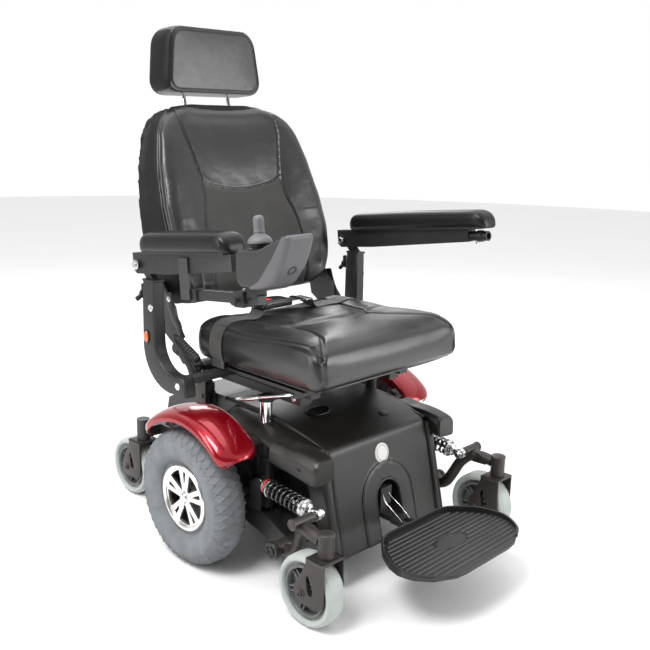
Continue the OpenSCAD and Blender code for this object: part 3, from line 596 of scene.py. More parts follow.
def turned_surface(outline, x0, y0, z0, segs, shape=None):
    """Turns an outline of (radius, x) about the X axis through (x0, y0, z0). shape gives a height for each
    (angle, distance along the outline), along the outline's outward normal."""
    o = np.asarray(outline, float)
    d = np.gradient(o, axis=0)
    d /= np.linalg.norm(d, axis=1)[:, None]
    normal = np.column_stack([-d[:, 1], d[:, 0]])
    along = np.concatenate([[0], np.cumsum(np.linalg.norm(np.diff(o, axis=0), axis=1))])
    along -= along[-1] / 2
    q = np.linspace(0, 2 * math.pi, segs, endpoint=False)
    h = np.zeros((segs, len(o))) if shape is None else shape(q[:, None], along[None, :])
    r = o[None, :, 0] + h * normal[None, :, 0]
    x = o[None, :, 1] + h * normal[None, :, 1]
    pts = np.stack([x0 + x, y0 + r * np.cos(q)[:, None], z0 + r * np.sin(q)[:, None]], axis=-1)
    return grid(pts, loop=False, closed=True, caps=False)


def tyre_outline(r_in, r_out, half, power, n, bead):
    """From the inner bead over the tread to the outer bead: (radius, x)."""
    rc = (r_in + r_out) / 2 + 2
    out = []
    for a in np.linspace(math.radians(-62), math.radians(242), n):
        c, s = math.cos(a), math.sin(a)
        x = half * math.copysign(abs(c) ** power, c)
        r = rc + (r_out - rc) * math.copysign(abs(s) ** power, s)
        out.append((max(r, r_in), -x))
    return [(bead, out[0][1] * 0.92)] + out + [(bead, out[-1][1] * 0.92)]


def drive_tread(q, v):
    """Zigzag grooves that leave rows of diamonds, and rings on the sidewall."""
    turns = q / (2 * math.pi) * 46
    h = np.zeros(np.broadcast(q, v).shape)
    for k, v0 in enumerate((-45, -27, -9, 9, 27, 45)):
        zig = v0 + 8.2 * tri(turns + (0.5 if k % 2 else 0.0))
        h -= 2.6 * np.exp(-((v - zig) / 1.5) ** 2)
    for k, v0 in enumerate((-36, -18, 0, 18, 36)):
        near = np.exp(-(((v - v0) / 2.6) ** 2))
        cut = np.exp(-((tri(turns + (0.5 if k % 2 else 0.0)) - 1) / 0.22) ** 2)
        h -= 1.1 * near * cut
    edge = 51 + 5.0 * tri(turns + 0.5)
    h -= 1.3 / (1 + np.exp(-(np.abs(v) - edge) / 0.9))
    for ring in (66, 84):
        h += 0.5 * np.exp(-((np.abs(v) - ring) / 1.1) ** 2)
    return h


def drive_wheel(s):
    n = NAME[s]
    body = "drive_wheel_" + n
    o = tyre_outline(80, 158.6, 41.6, 0.80, 112, 75.6)
    piece("drive_tyre_%s_treaded" % n, turned_surface(o, s * WHEEL_X, 0, WHEEL_Z, 552, drive_tread),
          tyre_mat, body, ["drive_tyre_" + n], angle=50, fix=False)
    at = (s * WHEEL_X, 0, WHEEL_Z)
    rim = Geo()
    # bright lip outside, and the face with five windows and five slots
    rim.merge(lathe([(66.5, 19), (67.5, 27.5), (70.5, 30), (76.5, 29.5), (78.6, 27), (78.4, 22), (75, 20),
                     (73, 12), (66.5, 12)], at, (s, 0, 0), 96, caps=False))
    loops = [ring_pts(0, 0, 70, 96)]
    for k in range(5):
        a = 90 + 72 * k
        window = arc(0, 0, 64.5, a + 17, a + 55, 12) + arc(0, 0, 19.5, a + 44, a + 28, 4)
        loops.append(round_loop(window, 4.0))
        slot = [(62, 4.9), (52, 3.9), (40, 2.2), (34, 0.9)]
        pts = slot + [(31.5, 0)] + [(rr, -w) for rr, w in reversed(slot)]
        c, q = math.cos(math.radians(a)), math.sin(math.radians(a))
        loops.append([(x * c - y * q, x * q + y * c) for x, y in pts])
    face = plate(loops, 9, 1.4, ex=(0, 1, 0), ey=(0, 0, 1), steps=3)

    def dish(v):
        rr = np.hypot(v[:, 1], v[:, 2])
        out = v.copy()
        out[:, 0] += 20 - 3.5 * np.clip(1 - rr / 66, 0, 1) + 2.2 * np.exp(-((rr - 30) / 16) ** 2)
        return out
    rim.merge(face.mapped(dish).flipped(s), at)
    piece("drive_rim_%s_face" % n, rim, alloy, body, ["drive_rim_" + n], angle=40)
    dark = Geo()
    dark.merge(lathe([(66.4, 20), (65.5, 8), (63, -6), (64, -20), (70, -27), (75, -28), (75, -22),
                      (68.5, -14), (68, 14), (70, 20)], at, (s, 0, 0), 72, caps=False))
    dark.merge(lathe([(0.5, -6), (64, -6), (64, -12), (0.5, -12)], at, (s, 0, 0), 72))
    dark.merge(lathe([(24, -6), (26, 2), (18, 10), (15, 16), (0.5, 16)], at, (s, 0, 0), 40))
    piece("drive_rim_%s_barrel" % n, dark, rim_dark, body, angle=40)
    cap = lathe([(0.5, 30.2), (6, 30.0), (10, 29.2), (12, 27.6), (12.6, 25), (15.5, 24), (16.4, 22),
                 (16.4, 16)], at, (s, 0, 0), 48)
    for k in range(5):
        a = math.radians(54 + 72 * k)
        p = (s * WHEEL_X + s * 24.2, 14.0 * math.cos(a), WHEEL_Z + 14.0 * math.sin(a))
        cap.merge(lathe([(2.3, 0), (2.3, 1.6), (1.8, 2.2), (0.1, 2.2)], p, (s, 0, 0), 6))
    piece("drive_hub_cap_" + n, cap, bright, body, angle=40)


def round_loop(pts, r, n=4):
    """Rounds each sharp corner of a closed loop."""
    p = np.asarray(pts, float)
    out = []
    for i in range(len(p)):
        a, b, c = p[i - 1], p[i], p[(i + 1) % len(p)]
        u, v = a - b, c - b
        lu, lv = np.linalg.norm(u), np.linalg.norm(v)
        cosang = (u @ v) / (lu * lv + 1e-9)
        if cosang < -0.9:
            out.append(tuple(b))
            continue
        k = min(r, lu * 0.45, lv * 0.45)
        p0, p1 = b + u / lu * k, b + v / lv * k
        for t in np.linspace(0, 1, n + 1):
            out.append(tuple((1 - t) ** 2 * p0 + 2 * t * (1 - t) * b + t ** 2 * p1))
    return out


# ---------------------------------------------------------------- casters

def caster_tread(q, v):
    h = np.zeros(np.broadcast(q, v).shape)
    for v0 in (-15, -7.5, 0, 7.5, 15):
        h -= 1.0 * np.exp(-((v - v0) / 0.75) ** 2)
    return h


CHEEK = ([(-64, 85), (-12, 85), (-12, 73), (-7, 60), (2, 42), (12, 26), (19, 13)] + arc(0, 0, 22, 20, -90, 8)
         + [(-14, -22), (-27, -20.5)] + arc(-38, 4, 26, -75, -180, 7) + [(-64, 14)])
SLOT = ([(-33.6, 14.5), (-31, 5.5), (-26, 3.6), (-20.5, 6), (-18.3, 11), (-15.6, 26), (-14.2, 40),
         (-15.6, 45), (-18.4, 46.4), (-21.4, 43.5), (-28, 28)])


def caster(s, kind, x, y):
    """One caster: its wheel and its fork. y is the wheel's axle, and the swivel axis is 40 mm ahead."""
    n = NAME[s]
    at = np.array([s * x, y, 78.0])
    wheel = "%s_wheel_%s" % (kind, n)
    fork = "%s_fork_%s" % (kind, n)
    o = tyre_outline(56, 77.9, 24.3, 0.78, 72, 55.4)
    piece("%s_tyre_%s_grooved" % (kind, n), turned_surface(o, at[0], at[1], at[2], 144, caster_tread),
          caster_mat, wheel, ["%s_tyre_%s" % (kind, n)], angle=60, fix=False)
    hub = Geo()
    for side in (-1, 1):
        hub.merge(lathe([(55.6, 12), (56.2, 19), (54.5, 21), (50.5, 21), (49, 19.2), (48.2, 12), (47, 6),
                         (20, 3.5)], at, (side, 0, 0), 72, caps=False))
        hub.merge(lathe([(0.5, 24.6), (8, 24.6), (10, 23.6), (12.5, 20), (15, 12), (20, 6), (24, 3.5)], at,
                        (side, 0, 0), 40, caps=False))
        for k in range(6):
            for d in (-1, 1):
                rib = rbox((side * 3, d * 5.5 - 1.6, 13), (side * 16.5, d * 5.5 + 1.6, 49.5), 0.6, 1)
                hub.merge(rib, at, rot_x(60 * k + 15))
    piece("%s_hub_%s_ribbed" % (kind, n), hub, hub_mat, wheel, ["%s_hub_%s" % (kind, n)],
          angle=40)
    g = Geo()
    for side in (-1, 1):
        g.merge(plate([CHEEK, SLOT], 4, 0.7, at + [side * 28, 0, 0]))
        g.merge(lathe([(9.5, 0), (9.5, 1.2), (8.2, 1.8), (0.3, 1.8)], at + [side * 30, 0, 0], (side, 0, 0),
                      28))
        g.merge(lathe([(6.4, 0), (6.4, 3.4), (5.4, 4.2), (3.1, 4.2), (3.0, 2.4), (0.2, 2.4)],
                      at + [side * 31.6, 0, 0], (side, 0, 0), 6))
    crown = [(-30, -64), (30, -64), (30, -12), (-30, -12)]
    g.merge(plate([round_loop(crown, 5)], 5, 0.9, at + [0, 0, 82.5], ex=(1, 0, 0), ey=(0, 1, 0)))
    # folded shoulders between crown and cheeks
    for side in (-1, 1):
        g.merge(tube([at + [side * 28, -63, 81], at + [side * 28, -13, 81]], 2.9, 12))
    g.merge(lathe([(12, 85), (12, 88), (8, 89), (8, 126), (0.5, 127)], at + [0, -40, 0], (0, 0, 1), 32))
    piece("%s_fork_%s_formed" % (kind, n), g, bracket, fork, ["%s_fork_%s" % (kind, n)], angle=35)


# ---------------------------------------------------------------- suspension

def front_arm(s):
    n = NAME[s]
    g = Geo()
    path = smooth_path([(268, -252, 108), (264.5, -270, 106), (264, -293, 117), (268, -311, 146),
                        (277, -325, 176), (291, -345, 196), (299, -375, 199), (300, -405, 195)], 6)
    g.merge(tube(path, 13.6, 24, up=(1, 0, 0)))
    g.merge(lathe([(16, 250), (17, 251), (17, 284), (16, 285)], (0, -252, 108), (1, 0, 0), 40))
    g.merge(lathe([(16.2, 163.6), (17.5, 165), (17.5, 208), (18.2, 209), (18.2, 213.4), (17, 215.2),
                   (11, 217), (0.5, 217.6)], (300, -420, 0), (0, 0, 1), 48))
    g.merge(lathe([(10, 262.5), (11, 263.5), (11, 318), (12.4, 319), (12.4, 322), (11, 323), (0.5, 323)],
                  (0, -342, 211), (1, 0, 0), 36))
    gusset = [(-342, 200), (-338, 192), (-352, 184), (-395, 186), (-398, 200), (-372, 210), (-348, 212)]
    g.merge(plate([round_loop(gusset, 4)], 6, 0.8, (288, 0, 0)))
    piece("front_arm_%s_tube" % n, g.flipped(s), bracket, "front_arm_" + n, ["front_arm_" + n],
          angle=40)
    end = Geo()
    end.merge(lathe([(5, 243), (5, 262.5)], (0, -342, 211), (1, 0, 0), 24))
    end.merge(lathe([(9.5, 236.5), (10, 237), (10, 242), (9, 243), (5, 243)], (0, -342, 211), (1, 0, 0), 28))
    end.merge(lathe([(6.2, 233), (6.2, 236.5)], (0, -342, 211), (1, 0, 0), 6))
    piece("shock_bolt_" + n, end.flipped(s), bright, "front_arm_" + n, angle=40)
    boss = Geo()
    boss.merge(lathe([(16.8, 285.6), (18.6, 286.4), (19.2, 288), (19.2, 295), (17.6, 297.4), (13.6, 297.8),
                      (13, 296.2), (9.4, 296.2), (9.2, 299), (6, 300.2), (5.4, 298.4), (0.4, 298.4)],
                     (0, -252, 108), (1, 0, 0), 44))
    piece("pivot_cap_" + n, boss.flipped(s), powder, "chassis", angle=40)


def shock(s):
    n = NAME[s]
    y0, z0 = -165.0, 225.0
    y1, z1 = -342.0, 211.0
    length = math.hypot(y1 - y0, z1 - z0)
    axis = np.array([0, (y1 - y0) / length, (z1 - z0) / length])
    base = np.array([s * 251.0, y0, z0])
    up = np.array([0, -axis[2], axis[1]])
    body = Geo()
    body.merge(lathe([(6.2, -5.6), (9.6, -5.6), (10.4, -4.8), (10.4, 4.8), (9.6, 5.6), (6.2, 5.6)], base,
                     (1, 0, 0), 36, caps=False))
    body.merge(lathe([(7.4, 8), (7.4, 14), (15.2, 16), (16.4, 17.4), (16.4, 21), (15, 22), (15, 26),
                      (16.4, 27), (16.4, 31), (20.6, 32.2), (21, 33), (21, 36.2), (20, 37.2), (12, 37.4)],
                     base, axis, 44))
    piece("shock_head_" + n, body, bright, "shock_body_" + n, ["shock_body_" + n], angle=35)
    tank = lathe([(12, 37), (12, 98), (11, 100), (5.2, 100)], base, axis, 32)
    piece("shock_cylinder_" + n, tank, spring_mat, "shock_body_" + n, angle=35)
    mark = lathe([(16.6, 22.4), (16.7, 22.6), (16.7, 25.6), (16.6, 25.8)], base, axis, 44, caps=False)
    piece("shock_mark_" + n, mark, button_red, "shock_body_" + n, angle=35)
    rod = Geo()
    rod.merge(lathe([(4.9, 86), (4.9, 139)], base, axis, 24))
    rod.merge(lathe([(5, 138.6), (19.2, 138.8), (20.6, 139.6), (20.6, 143.6), (19.6, 144.8), (14.6, 146),
                     (13.4, 149), (14.4, 150.5), (14.4, 155), (12, 157), (8, 159.5), (8, 170)], base, axis,
                    44))
    tip = base + axis * length
    rod.merge(lathe([(7, -5.6), (11.4, -5.6), (12.2, -4.8), (12.2, 4.8), (11.4, 5.6), (7, 5.6)], tip,
                    (1, 0, 0), 36, caps=False))
    piece("shock_rod_%s_turned" % n, rod, bright, "shock_rod_" + n, ["shock_rod_" + n], angle=35)
    turns, r, a0, a1 = 7.5, 17.4, 39.6, 136.4
    t = np.linspace(0, 1, 300)
    lead = np.clip(np.minimum(t, 1 - t) / 0.09, 0, 1)
    along = np.interp(np.cumsum(0.25 + lead), [0.25 + lead[0], np.sum(0.25 + lead)], [a0, a1])
    ang = 2 * math.pi * turns * t
    side = np.array([1, 0, 0])
    path = [base + axis * al + r * (math.cos(q) * side + math.sin(q) * up) for al, q in zip(along, ang)]
    coil = piece("shock_coil_" + n, tube(path, 3.0, 12, up=(1, 0, 0)), spring_mat, "shock_body_" + n,
                 ["shock_spring_" + n], angle=180)
    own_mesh(coil)


for s in (RIGHT, LEFT):
    drive_wheel(s)
    caster(s, "front", 300, -380)
    caster(s, "rear", 207, 405)
    front_arm(s)
    shock(s)

# ---------------------------------------------------------------- fenders

def fender(s):
    """A curved mudguard: a rounded section turned about the wheel, drawn in at both ends."""
    n = NAME[s]
    y0, z0 = -10.0, 159.0
    outer = smooth_path([(44, 187), (42.5, 196), (36, 204.5), (18, 211.8), (-12, 214.6), (-44, 212.2),
                         (-60, 206), (-66, 194)], 5)
    mid = np.array([-11.0, 205.0])
    rings, under = [], []
    angles = np.concatenate([np.linspace(-49.5, -38, 16), np.linspace(-36, 36, 40),
                             np.linspace(38, 49.5, 16)])
    for a in angles:
        e = max(0.0, (abs(a) - 38) / 11.5)
        k = math.sqrt(max(0.0, 1 - e ** 2.6)) * 0.42 + 0.58
        drop = 3.0 * e ** 2
        c, q = math.cos(math.radians(a)), math.sin(math.radians(a))
        ring, low = [], []
        for x, r in outer:
            xx = mid[0] + (x - mid[0]) * k
            rr = r - drop
            ring.append((WHEEL_X + xx, y0 + rr * q, z0 + rr * c))
        t = np.gradient(outer, axis=0)
        t /= np.linalg.norm(t, axis=1)[:, None]
        inner = outer - np.column_stack([t[:, 1], -t[:, 0]]) * 2.8
        for x, r in inner:
            xx = mid[0] + (x - mid[0]) * k
            low.append((WHEEL_X + xx, y0 + (r - drop) * q, z0 + (r - drop) * c))
        rings.append(ring)
        under.append(low)
    rings, under = np.array(rings), np.array(under)
    top = grid(rings, loop=False, caps=False)
    piece("fender_%s_skin" % n, top.flipped(s), red_paint, "chassis", ["fenders"], angle=180)
    inside = grid(under[:, ::-1], loop=False, caps=False)
    piece("fender_%s_lining" % n, inside.flipped(s), fender_under, "chassis", angle=180)
    # rolled edge all round
    edge = np.vstack([(rings[:, 0] + under[:, 0]) / 2, (rings[-1] + under[-1])[1:] / 2,
                      ((rings[:, -1] + under[:, -1]) / 2)[::-1][1:], ((rings[0] + under[0]) / 2)[::-1][1:-1]])
    edge = np.vstack([edge, edge[:1], edge[1:2]])
    fr = frames(edge)
    loops = [[p + 1.7 * (math.cos(t) * a + math.sin(t) * b) for t in np.linspace(0, 2 * math.pi, 9)[:-1]]
             for p, (_, a, b) in zip(edge, fr)]
    piece("fender_%s_edge" % n, grid(loops[:-1], caps=False).flipped(s), red_paint, "chassis",
          angle=180)
    tabs = Geo()
    for a in (-38, 38):
        tab = plate([round_loop([(-82, -14), (-60, -14), (-60, 14), (-82, 14)], 4)], 4, 0.8, (0, 0, 200),
                    ex=(1, 0, 0), ey=(0, 1, 0))
        tab.merge(bolt((-74, 0, 202), (0, 0, 1), 4.2, 3))
        tabs.merge(tab, (WHEEL_X, y0, z0), rot_x(a))
    piece("fender_%s_tabs" % n, tabs.flipped(s), powder, "chassis", angle=35)


# ---------------------------------------------------------------- front shroud

FRONT_LOW, FRONT_HIGH = np.array([-345.0, 76.0]), np.array([-290.0, 303.0])


def shroud_profile():
    """Side outline (y, z) of the shroud's skin, from its foot to the rear of the deck."""
    foot = FRONT_LOW
    face = [foot + (FRONT_HIGH - foot) * t for t in np.linspace(0, 0.955, 34)]
    brow = [(-291.2, 297.5), (-289.2, 303), (-286, 307.6), (-281, 311)]
    deck = smooth_path([(-274, 313.6), (-240, 323.5), (-195, 333), (-150, 341), (-85, 347.5), (-20, 350),
                        (62, 350)], 6)
    return np.array([tuple(p) for p in face] + brow + [tuple(p) for p in deck])


def arch_half(z, top, r):
    """Half the width at height z of an arch with a round top, or zero above it."""
    c = top - r
    return r if z < c else math.sqrt(max(0.0, r * r - (z - c) ** 2))


def shroud():
    prof = shroud_profile()
    half = 166.0
    xs = np.concatenate([[-half - 2, -half - 1.6, -half - 0.4, -half + 1.6, -half + 4],
                         np.linspace(-156, 156, 105), [half - 4, half - 1.6, half + 0.4, half + 1.6, half
                                                       + 2]])
    round_down = {0: 14.0, 1: 8.0, 2: 4.0, 3: 1.6, 4: 0.4}
    t = np.gradient(prof, axis=0)
    t /= np.linalg.norm(t, axis=1)[:, None]
    out = np.column_stack([-t[:, 1], t[:, 0]])
    rows = []
    for j, x in enumerate(xs):
        edge = min(j, len(xs) - 1 - j)
        row = []
        for p, nrm in zip(prof, out):
            h = -round_down.get(edge, 0.0)
            z = p[1]
            if edge > 4:
                if z < 262:
                    h += 3.2 / (1 + math.exp((abs(x) - max(arch_half(z, 248, 85), 0.01)) / 1.1)) \
                        if z < 248 else 0.0
                # shallow dish over the middle of the deck
                if p[0] > -286:
                    e = ((x / 120) ** 2 + ((p[0] + 90) / 150) ** 2)
                    h -= 5.0 * math.exp(-max(0, e) ** 2)
            row.append((x, p[0] + h * nrm[0], z + h * nrm[1]))
        rows.append(row)
    rows = np.array(rows)
    skin = Geo()
    n, m = rows.shape[:2]
    idx = -np.ones((n, m), int)
    keep = np.ones((n - 1, m - 1), bool)
    for i in range(n - 1):
        for k in range(m - 1):
            c = (rows[i, k] + rows[i + 1, k + 1]) / 2
            if c[1] < -280 and abs(c[0]) < arch_half(c[2], 208, 42) - 0.8 and c[2] < 208:
                keep[i, k] = False
    verts, faces = [], []
    for i in range(n):
        for k in range(m):
            idx[i, k] = len(verts)
            verts.append(tuple(rows[i, k]))
    for i in range(n - 1):
        for k in range(m - 1):
            if keep[i, k]:
                faces.append((idx[i, k], idx[i, k + 1], idx[i + 1, k + 1], idx[i + 1, k]))
    skin.add(verts, faces)
    ob = piece("front_shroud_skin", skin, shell_mat, "chassis", ["front_shroud"], angle=60)
    th = ob.modifiers.new("wall", "SOLIDIFY")
    th.thickness = 0.0035
    th.offset = -1
    # rounded lip of the arch opening, which also covers the cut edge
    lip = []
    d = (FRONT_HIGH - FRONT_LOW) / np.linalg.norm(FRONT_HIGH - FRONT_LOW)
    for x, z in [(-42, 80)] + arc(0, 166, 42, 180, 0, 30) + [(42, 80)]:
        y = FRONT_LOW[0] + (z - FRONT_LOW[1]) * d[0] / d[1] - 1.0
        lip.append((x, y, z))
    piece("front_shroud_arch_lip", tube(smooth_path(lip, 3), 3.3, 12, up=(0, 1, 0)), shell_mat, "chassis",
          angle=180)
    # fine raised line round the arch panel
    line = []
    for x, z in [(-86, 80)] + arc(0, 163, 86, 180, 0, 40) + [(86, 80)]:
        y = FRONT_LOW[0] + (z - FRONT_LOW[1]) * d[0] / d[1] - 1.6
        line.append((x, y, z))
    piece("front_shroud_arch_line", tube(smooth_path(line, 3), 1.5, 8, up=(0, 1, 0)), shell_mat, "chassis",
          angle=180)
    # inside of the arch: a tunnel that closes the view into the base
    tunnel = []
    for dy in (0, 30, 55):
        ring = []
        for x, z in [(-43, 78)] + arc(0, 166, 43, 180, 0, 24) + [(43, 78)]:
            y = FRONT_LOW[0] + (z - FRONT_LOW[1]) * d[0] / d[1] + 1.5 + dy
            ring.append((x * (1 + dy * 0.002), y, z))
        tunnel.append(ring)
    piece("front_shroud_arch_tunnel", grid(tunnel, loop=False, caps=False), powder, "chassis",
          angle=180)


def shroud_sides(s):
    """The corner column, the ear over the shock absorber, and the inner side wall."""
    n = NAME[s]
    g = Geo()
    # column: a strip with a rounded outer edge, from the foot up to the ear
    rings = []
    for t in np.linspace(0, 1, 26):
        z = 77 + (300 - 77) * t
        y = -345.5 + (z - 76) * (55.0 / 227.0) - 2.5
        out_x = 191 + 3 * t
        rings.append([(167.5, y + 7, z), (169, y + 2.2, z), (171.5, y + 0.4, z), (176, y - 0.6, z),
                      (182, y - 0.4, z), (out_x - 5, y + 1.2, z), (out_x - 1.5, y + 4.5, z),
                      (out_x, y + 10, z), (out_x, y + 34 + 34 * t, z), (out_x - 4, y + 36 + 34 * t, z),
                      (out_x - 5, y + 14, z), (168, y + 12, z)])
    g.merge(grid(rings))
    # ear
    rings = []
    for t in np.linspace(0, 1, 34):
        y = -325 + 138 * t
        e = max(0.0, 1 - t / 0.10)
        k = math.sqrt(max(0.0, 1 - e ** 2)) * 0.10 + 0.90 if e else 1.0
        low = 258 + 20 * t
        top = 313 + 12 * t + 4 * math.sin(math.pi * min(1, t * 1.4))
        out_x = 240 + 7 * t
        cx, cz = 205.0, (low + top) / 2
        sec = ([(181, low + 10), (181, top - 6), (185, top - 1.5), (192, top)]
               + arc(out_x - 27, top - 27, 27, 90, 0, 10) + [(out_x + 0.6, low + 6), (out_x - 1, low + 1.5),
                                                             (out_x - 5, low), (212, low + 1),
                                                             (190, low + 4)])
        rings.append([(cx + (x - cx) * k, y, cz + (z - cz) * k) for x, z in sec])
    g.merge(grid(rings))
    piece("front_shroud_ear_" + n, g.flipped(s), shell_mat, "chassis", angle=50)
    # apron behind the ear, sloping up to the fender
    apron = []
    for u in np.linspace(0, 1, 9):
        row = []
        for t in np.linspace(0, 1, 16):
            y = -282 + 300 * t
            x = 166 + (80 - 24 * t) * u
            top = 312 + 30 * math.sin(math.pi * 0.5 * min(1, t * 1.2))
            z = top - 18 * u ** 2 - 6 * u
            row.append((x, y, z))
        apron.append(row)
    g2 = grid(apron, loop=False, caps=False)
    ob = piece("front_shroud_apron_" + n, g2.flipped(s), shell_mat, "chassis", angle=60)
    th = ob.modifiers.new("wall", "SOLIDIFY")
    th.thickness = 0.003
    # side wall under the apron, behind the shock absorber
    wall = plate([round_loop([(-318, 84), (-262, 306), (-150, 338), (60, 346), (60, 252), (-240, 236),
                              (-292, 84)], 8)], 4, 1.0, (168.5, 0, 0))
    piece("front_shroud_wall_" + n, wall.flipped(s), shell_mat, "chassis", angle=35)


def shroud_details():
    d = (FRONT_HIGH - FRONT_LOW) / np.linalg.norm(FRONT_HIGH - FRONT_LOW)
    nrm = np.array([0, -d[1], d[0]])
    at = np.array([0, FRONT_LOW[0] + (268 - 76) * d[0] / d[1], 268.0])
    disc = lathe([(0.3, 2.6), (18, 2.6), (21.5, 2.2), (22.8, 1.2), (23.2, -0.6)], at, nrm, 64)
    piece("emblem_disc_plain", disc, disc_mat, "chassis", angle=40)
    ringo = lathe([(16.8, 2.5), (17.2, 3.0), (17.8, 3.0), (18.2, 2.5)], at, nrm, 64, caps=False)
    piece("emblem_ring_plain", ringo, hub_mat, "chassis", angle=60)
    # oval recess and square hole on the deck
    oval = []
    for a in np.linspace(0, 2 * math.pi, 41)[:-1]:
        oval.append((-50 + 34 * math.cos(a), -140 + 20 * math.sin(a), 340.5 + 0.16 * 20 * math.sin(a)))
    rim = np.array(oval + oval[:2])
    piece("deck_oval_rim", tube(rim[:-1], 2.4, 10), shell_mat, "chassis", angle=180)
    floor = Geo().add([(x * 0.94 - 3, y * 0.94 - 8.4, z - 1.2) for x, y, z in oval],
                      [tuple(range(len(oval)))])
    piece("deck_oval_floor", floor, rim_dark, "chassis", angle=180)
    g = plate([round_loop([(-11, -9), (11, -9), (11, 9), (-11, 9)], 3)], 2.4, 0.6, (84, -228, 326.4),
              ex=(1, 0, 0), ey=(0, 0.97, 0.22))
    piece("deck_square_plug", g, rim_dark, "chassis", angle=35)


for s in (RIGHT, LEFT):
    fender(s)
shroud()
for s in (RIGHT, LEFT):
    shroud_sides(s)
shroud_details()


# ---------------------------------------------------------------- footplate

FOOT_REAR, FOOT_FRONT = -402, -605
FOOT_HALF = [(96, FOOT_REAR), (150, -440), (178, -482), (186, -512), (180, -545), (152, -578), (106, -601),
             (76, FOOT_FRONT)]
FOOT = [(-96, FOOT_REAR)] + FOOT_HALF + [(-x, y) for x, y in FOOT_HALF[:0:-1]]


def foot_half(y, inset=0.0):
    """Half the footplate's width at y, inset from its edge."""
    if y > FOOT_REAR - inset or y < FOOT_FRONT + inset:
        return 0.0
    xs, ys = np.array(FOOT_HALF, float).T
    return float(np.interp(-y, -ys, xs)) - inset


def footplate():
    g = Geo()
    outline = round_loop(FOOT, 22, 6)
    g.merge(plate([outline], 9, 2.2, (0, 0, 120), ex=(1, 0, 0), ey=(0, 1, 0), steps=3))
    # raised rim along the rear and both sides, fading out to the front
    rim = mirrored([(128, -590), (160, -570), (183, -530), (182, -497), (168, -466), (146, -438),
                    (98, -404.5)], [(0, -403.5)])
    path = smooth_path([(x, y, 127.0) for x, y in rim], 6)
    height = np.interp(np.linspace(0, 1, len(path)), [0, 0.16, 0.3, 0.7, 0.84, 1],
                       [0.15, 0.6, 1, 1, 0.6, 0.15])
    rings = []
    for p, (t, sd, u), h in zip(path, frames(path), height):
        sec = [(-2.6, -6), (-3.4, 4 * h), (-2.2, 9.4 * h), (0, 10.6 * h), (2.0, 9.4 * h), (2.8, 4 * h),
               (2.6, -6)]
        rings.append([p + a * sd + b * u for a, b in sec])
    g.merge(grid(rings))
    # ribs, parallel to the rear lip, broken by a smooth oval
    for i in range(14):
        y = -420 - i * 12.6
        half = foot_half(y, 13)
        if half < 20:
            continue
        e = 1 - ((y + 505) / 24) ** 2
        hole = 48 * math.sqrt(e) if e > 0 else 0
        spans = [(-half, half)] if hole == 0 else [(-half, -hole - 4), (hole + 4, half)]
        for a, b in spans:
            if b - a < 10:
                continue
            path = [(a, y, 124.6), (a + 3, y, 125.4), (b - 3, y, 125.4), (b, y, 124.6)]
            sec = [(3.1, -1.4), (2.6, 1.2), (1.4, 2.3), (-1.4, 2.3), (-2.6, 1.2), (-3.1, -1.4)]
            g.merge(tube(path, 1, shape=sec))
    rings = []
    for k, dz in ((1.0, 0), (0.985, 1.5), (0.95, 2.4), (0.7, 2.7), (0.02, 2.8)):
        rings.append([(50 * k * math.cos(a), -505 + 25 * k * math.sin(a), 124.2 + dz)
                      for a in np.linspace(0, 2 * math.pi, 49)[:-1]])
    g.merge(grid(rings))
    # underside ribs and the hinge lug
    for x in (-60, 0, 60):
        g.merge(rbox((x - 3, -590, 110), (x + 3, -410, 117), 1.2))
    g.merge(lathe([(5, -12.4), (5, 12.4)], (0, -394, 122), (1, 0, 0), 28))
    g.merge(rbox((-12.4, -404, 116), (12.4, -393, 125), 1.0))
    g.merge(lathe([(2.9, -20.5), (2.9, 20.5)], (0, -394, 122), (1, 0, 0), 20))
    for x in (-1, 1):
        g.merge(lathe([(4.6, 19.4), (4.6, 22), (3.8, 22.8), (0.2, 22.8)], (0, -394, 122), (x, 0, 0), 20))
    piece("footplate_ribbed", g, foot_mat, "footplate", ["footplate"], angle=40)


footplate()


# ---------------------------------------------------------------- padded pieces

def reclined(a_deg, y0, z0, x0=0.0):
    """Maps a local frame, leant back by a_deg about X at (y0, z0), to drive-axle millimetres."""
    a = math.radians(a_deg)
    c, q = math.cos(a), math.sin(a)

    def to_axle(p):
        x, y, z = np.asarray(p, float).T
        return np.column_stack([x + x0, y0 + y * c + z * q, z0 - y * q + z * c])
    return to_axle


def from_frame(a_deg, y0, z0, x0=0.0):
    """The inverse of reclined."""
    a = math.radians(a_deg)
    c, q = math.cos(a), math.sin(a)

    def to_local(p):
        x, y, z = np.asarray(p, float).T
        y, z = y - y0, z - z0
        return np.column_stack([x - x0, y * c - z * q, y * q + z * c])
    return to_local


def verts_mm(ob):
    co = np.empty(len(ob.data.vertices) * 3)
    ob.data.vertices.foreach_get("co", co)
    return co.reshape(-1, 3) / MM - [0, AXLE_Y, 0]


def set_verts(ob, mm):
    ob.data.vertices.foreach_set("co", place(mm).ravel())
    ob.data.update()


def apply_all(ob):
    """Replaces the mesh by its evaluated one, and drops the modifiers."""
    dg = bpy.context.evaluated_depsgraph_get()
    new = bpy.data.meshes.new_from_object(ob.evaluated_get(dg))
    old = ob.data
    ob.modifiers.clear()
    ob.data = new
    bpy.data.meshes.remove(old)


def to_polyline(points, path):
    """Distance of each 2-D point from a polyline."""
    path = np.asarray(path, float)
    best = np.full(len(points), 1e9)
    for a, b in zip(path[:-1], path[1:]):
        d = b - a
        t = np.clip(((points - a) @ d) / max(1e-9, d @ d), 0, 1)
        best = np.minimum(best, np.linalg.norm(points - (a + t[:, None] * d), axis=1))
    return best


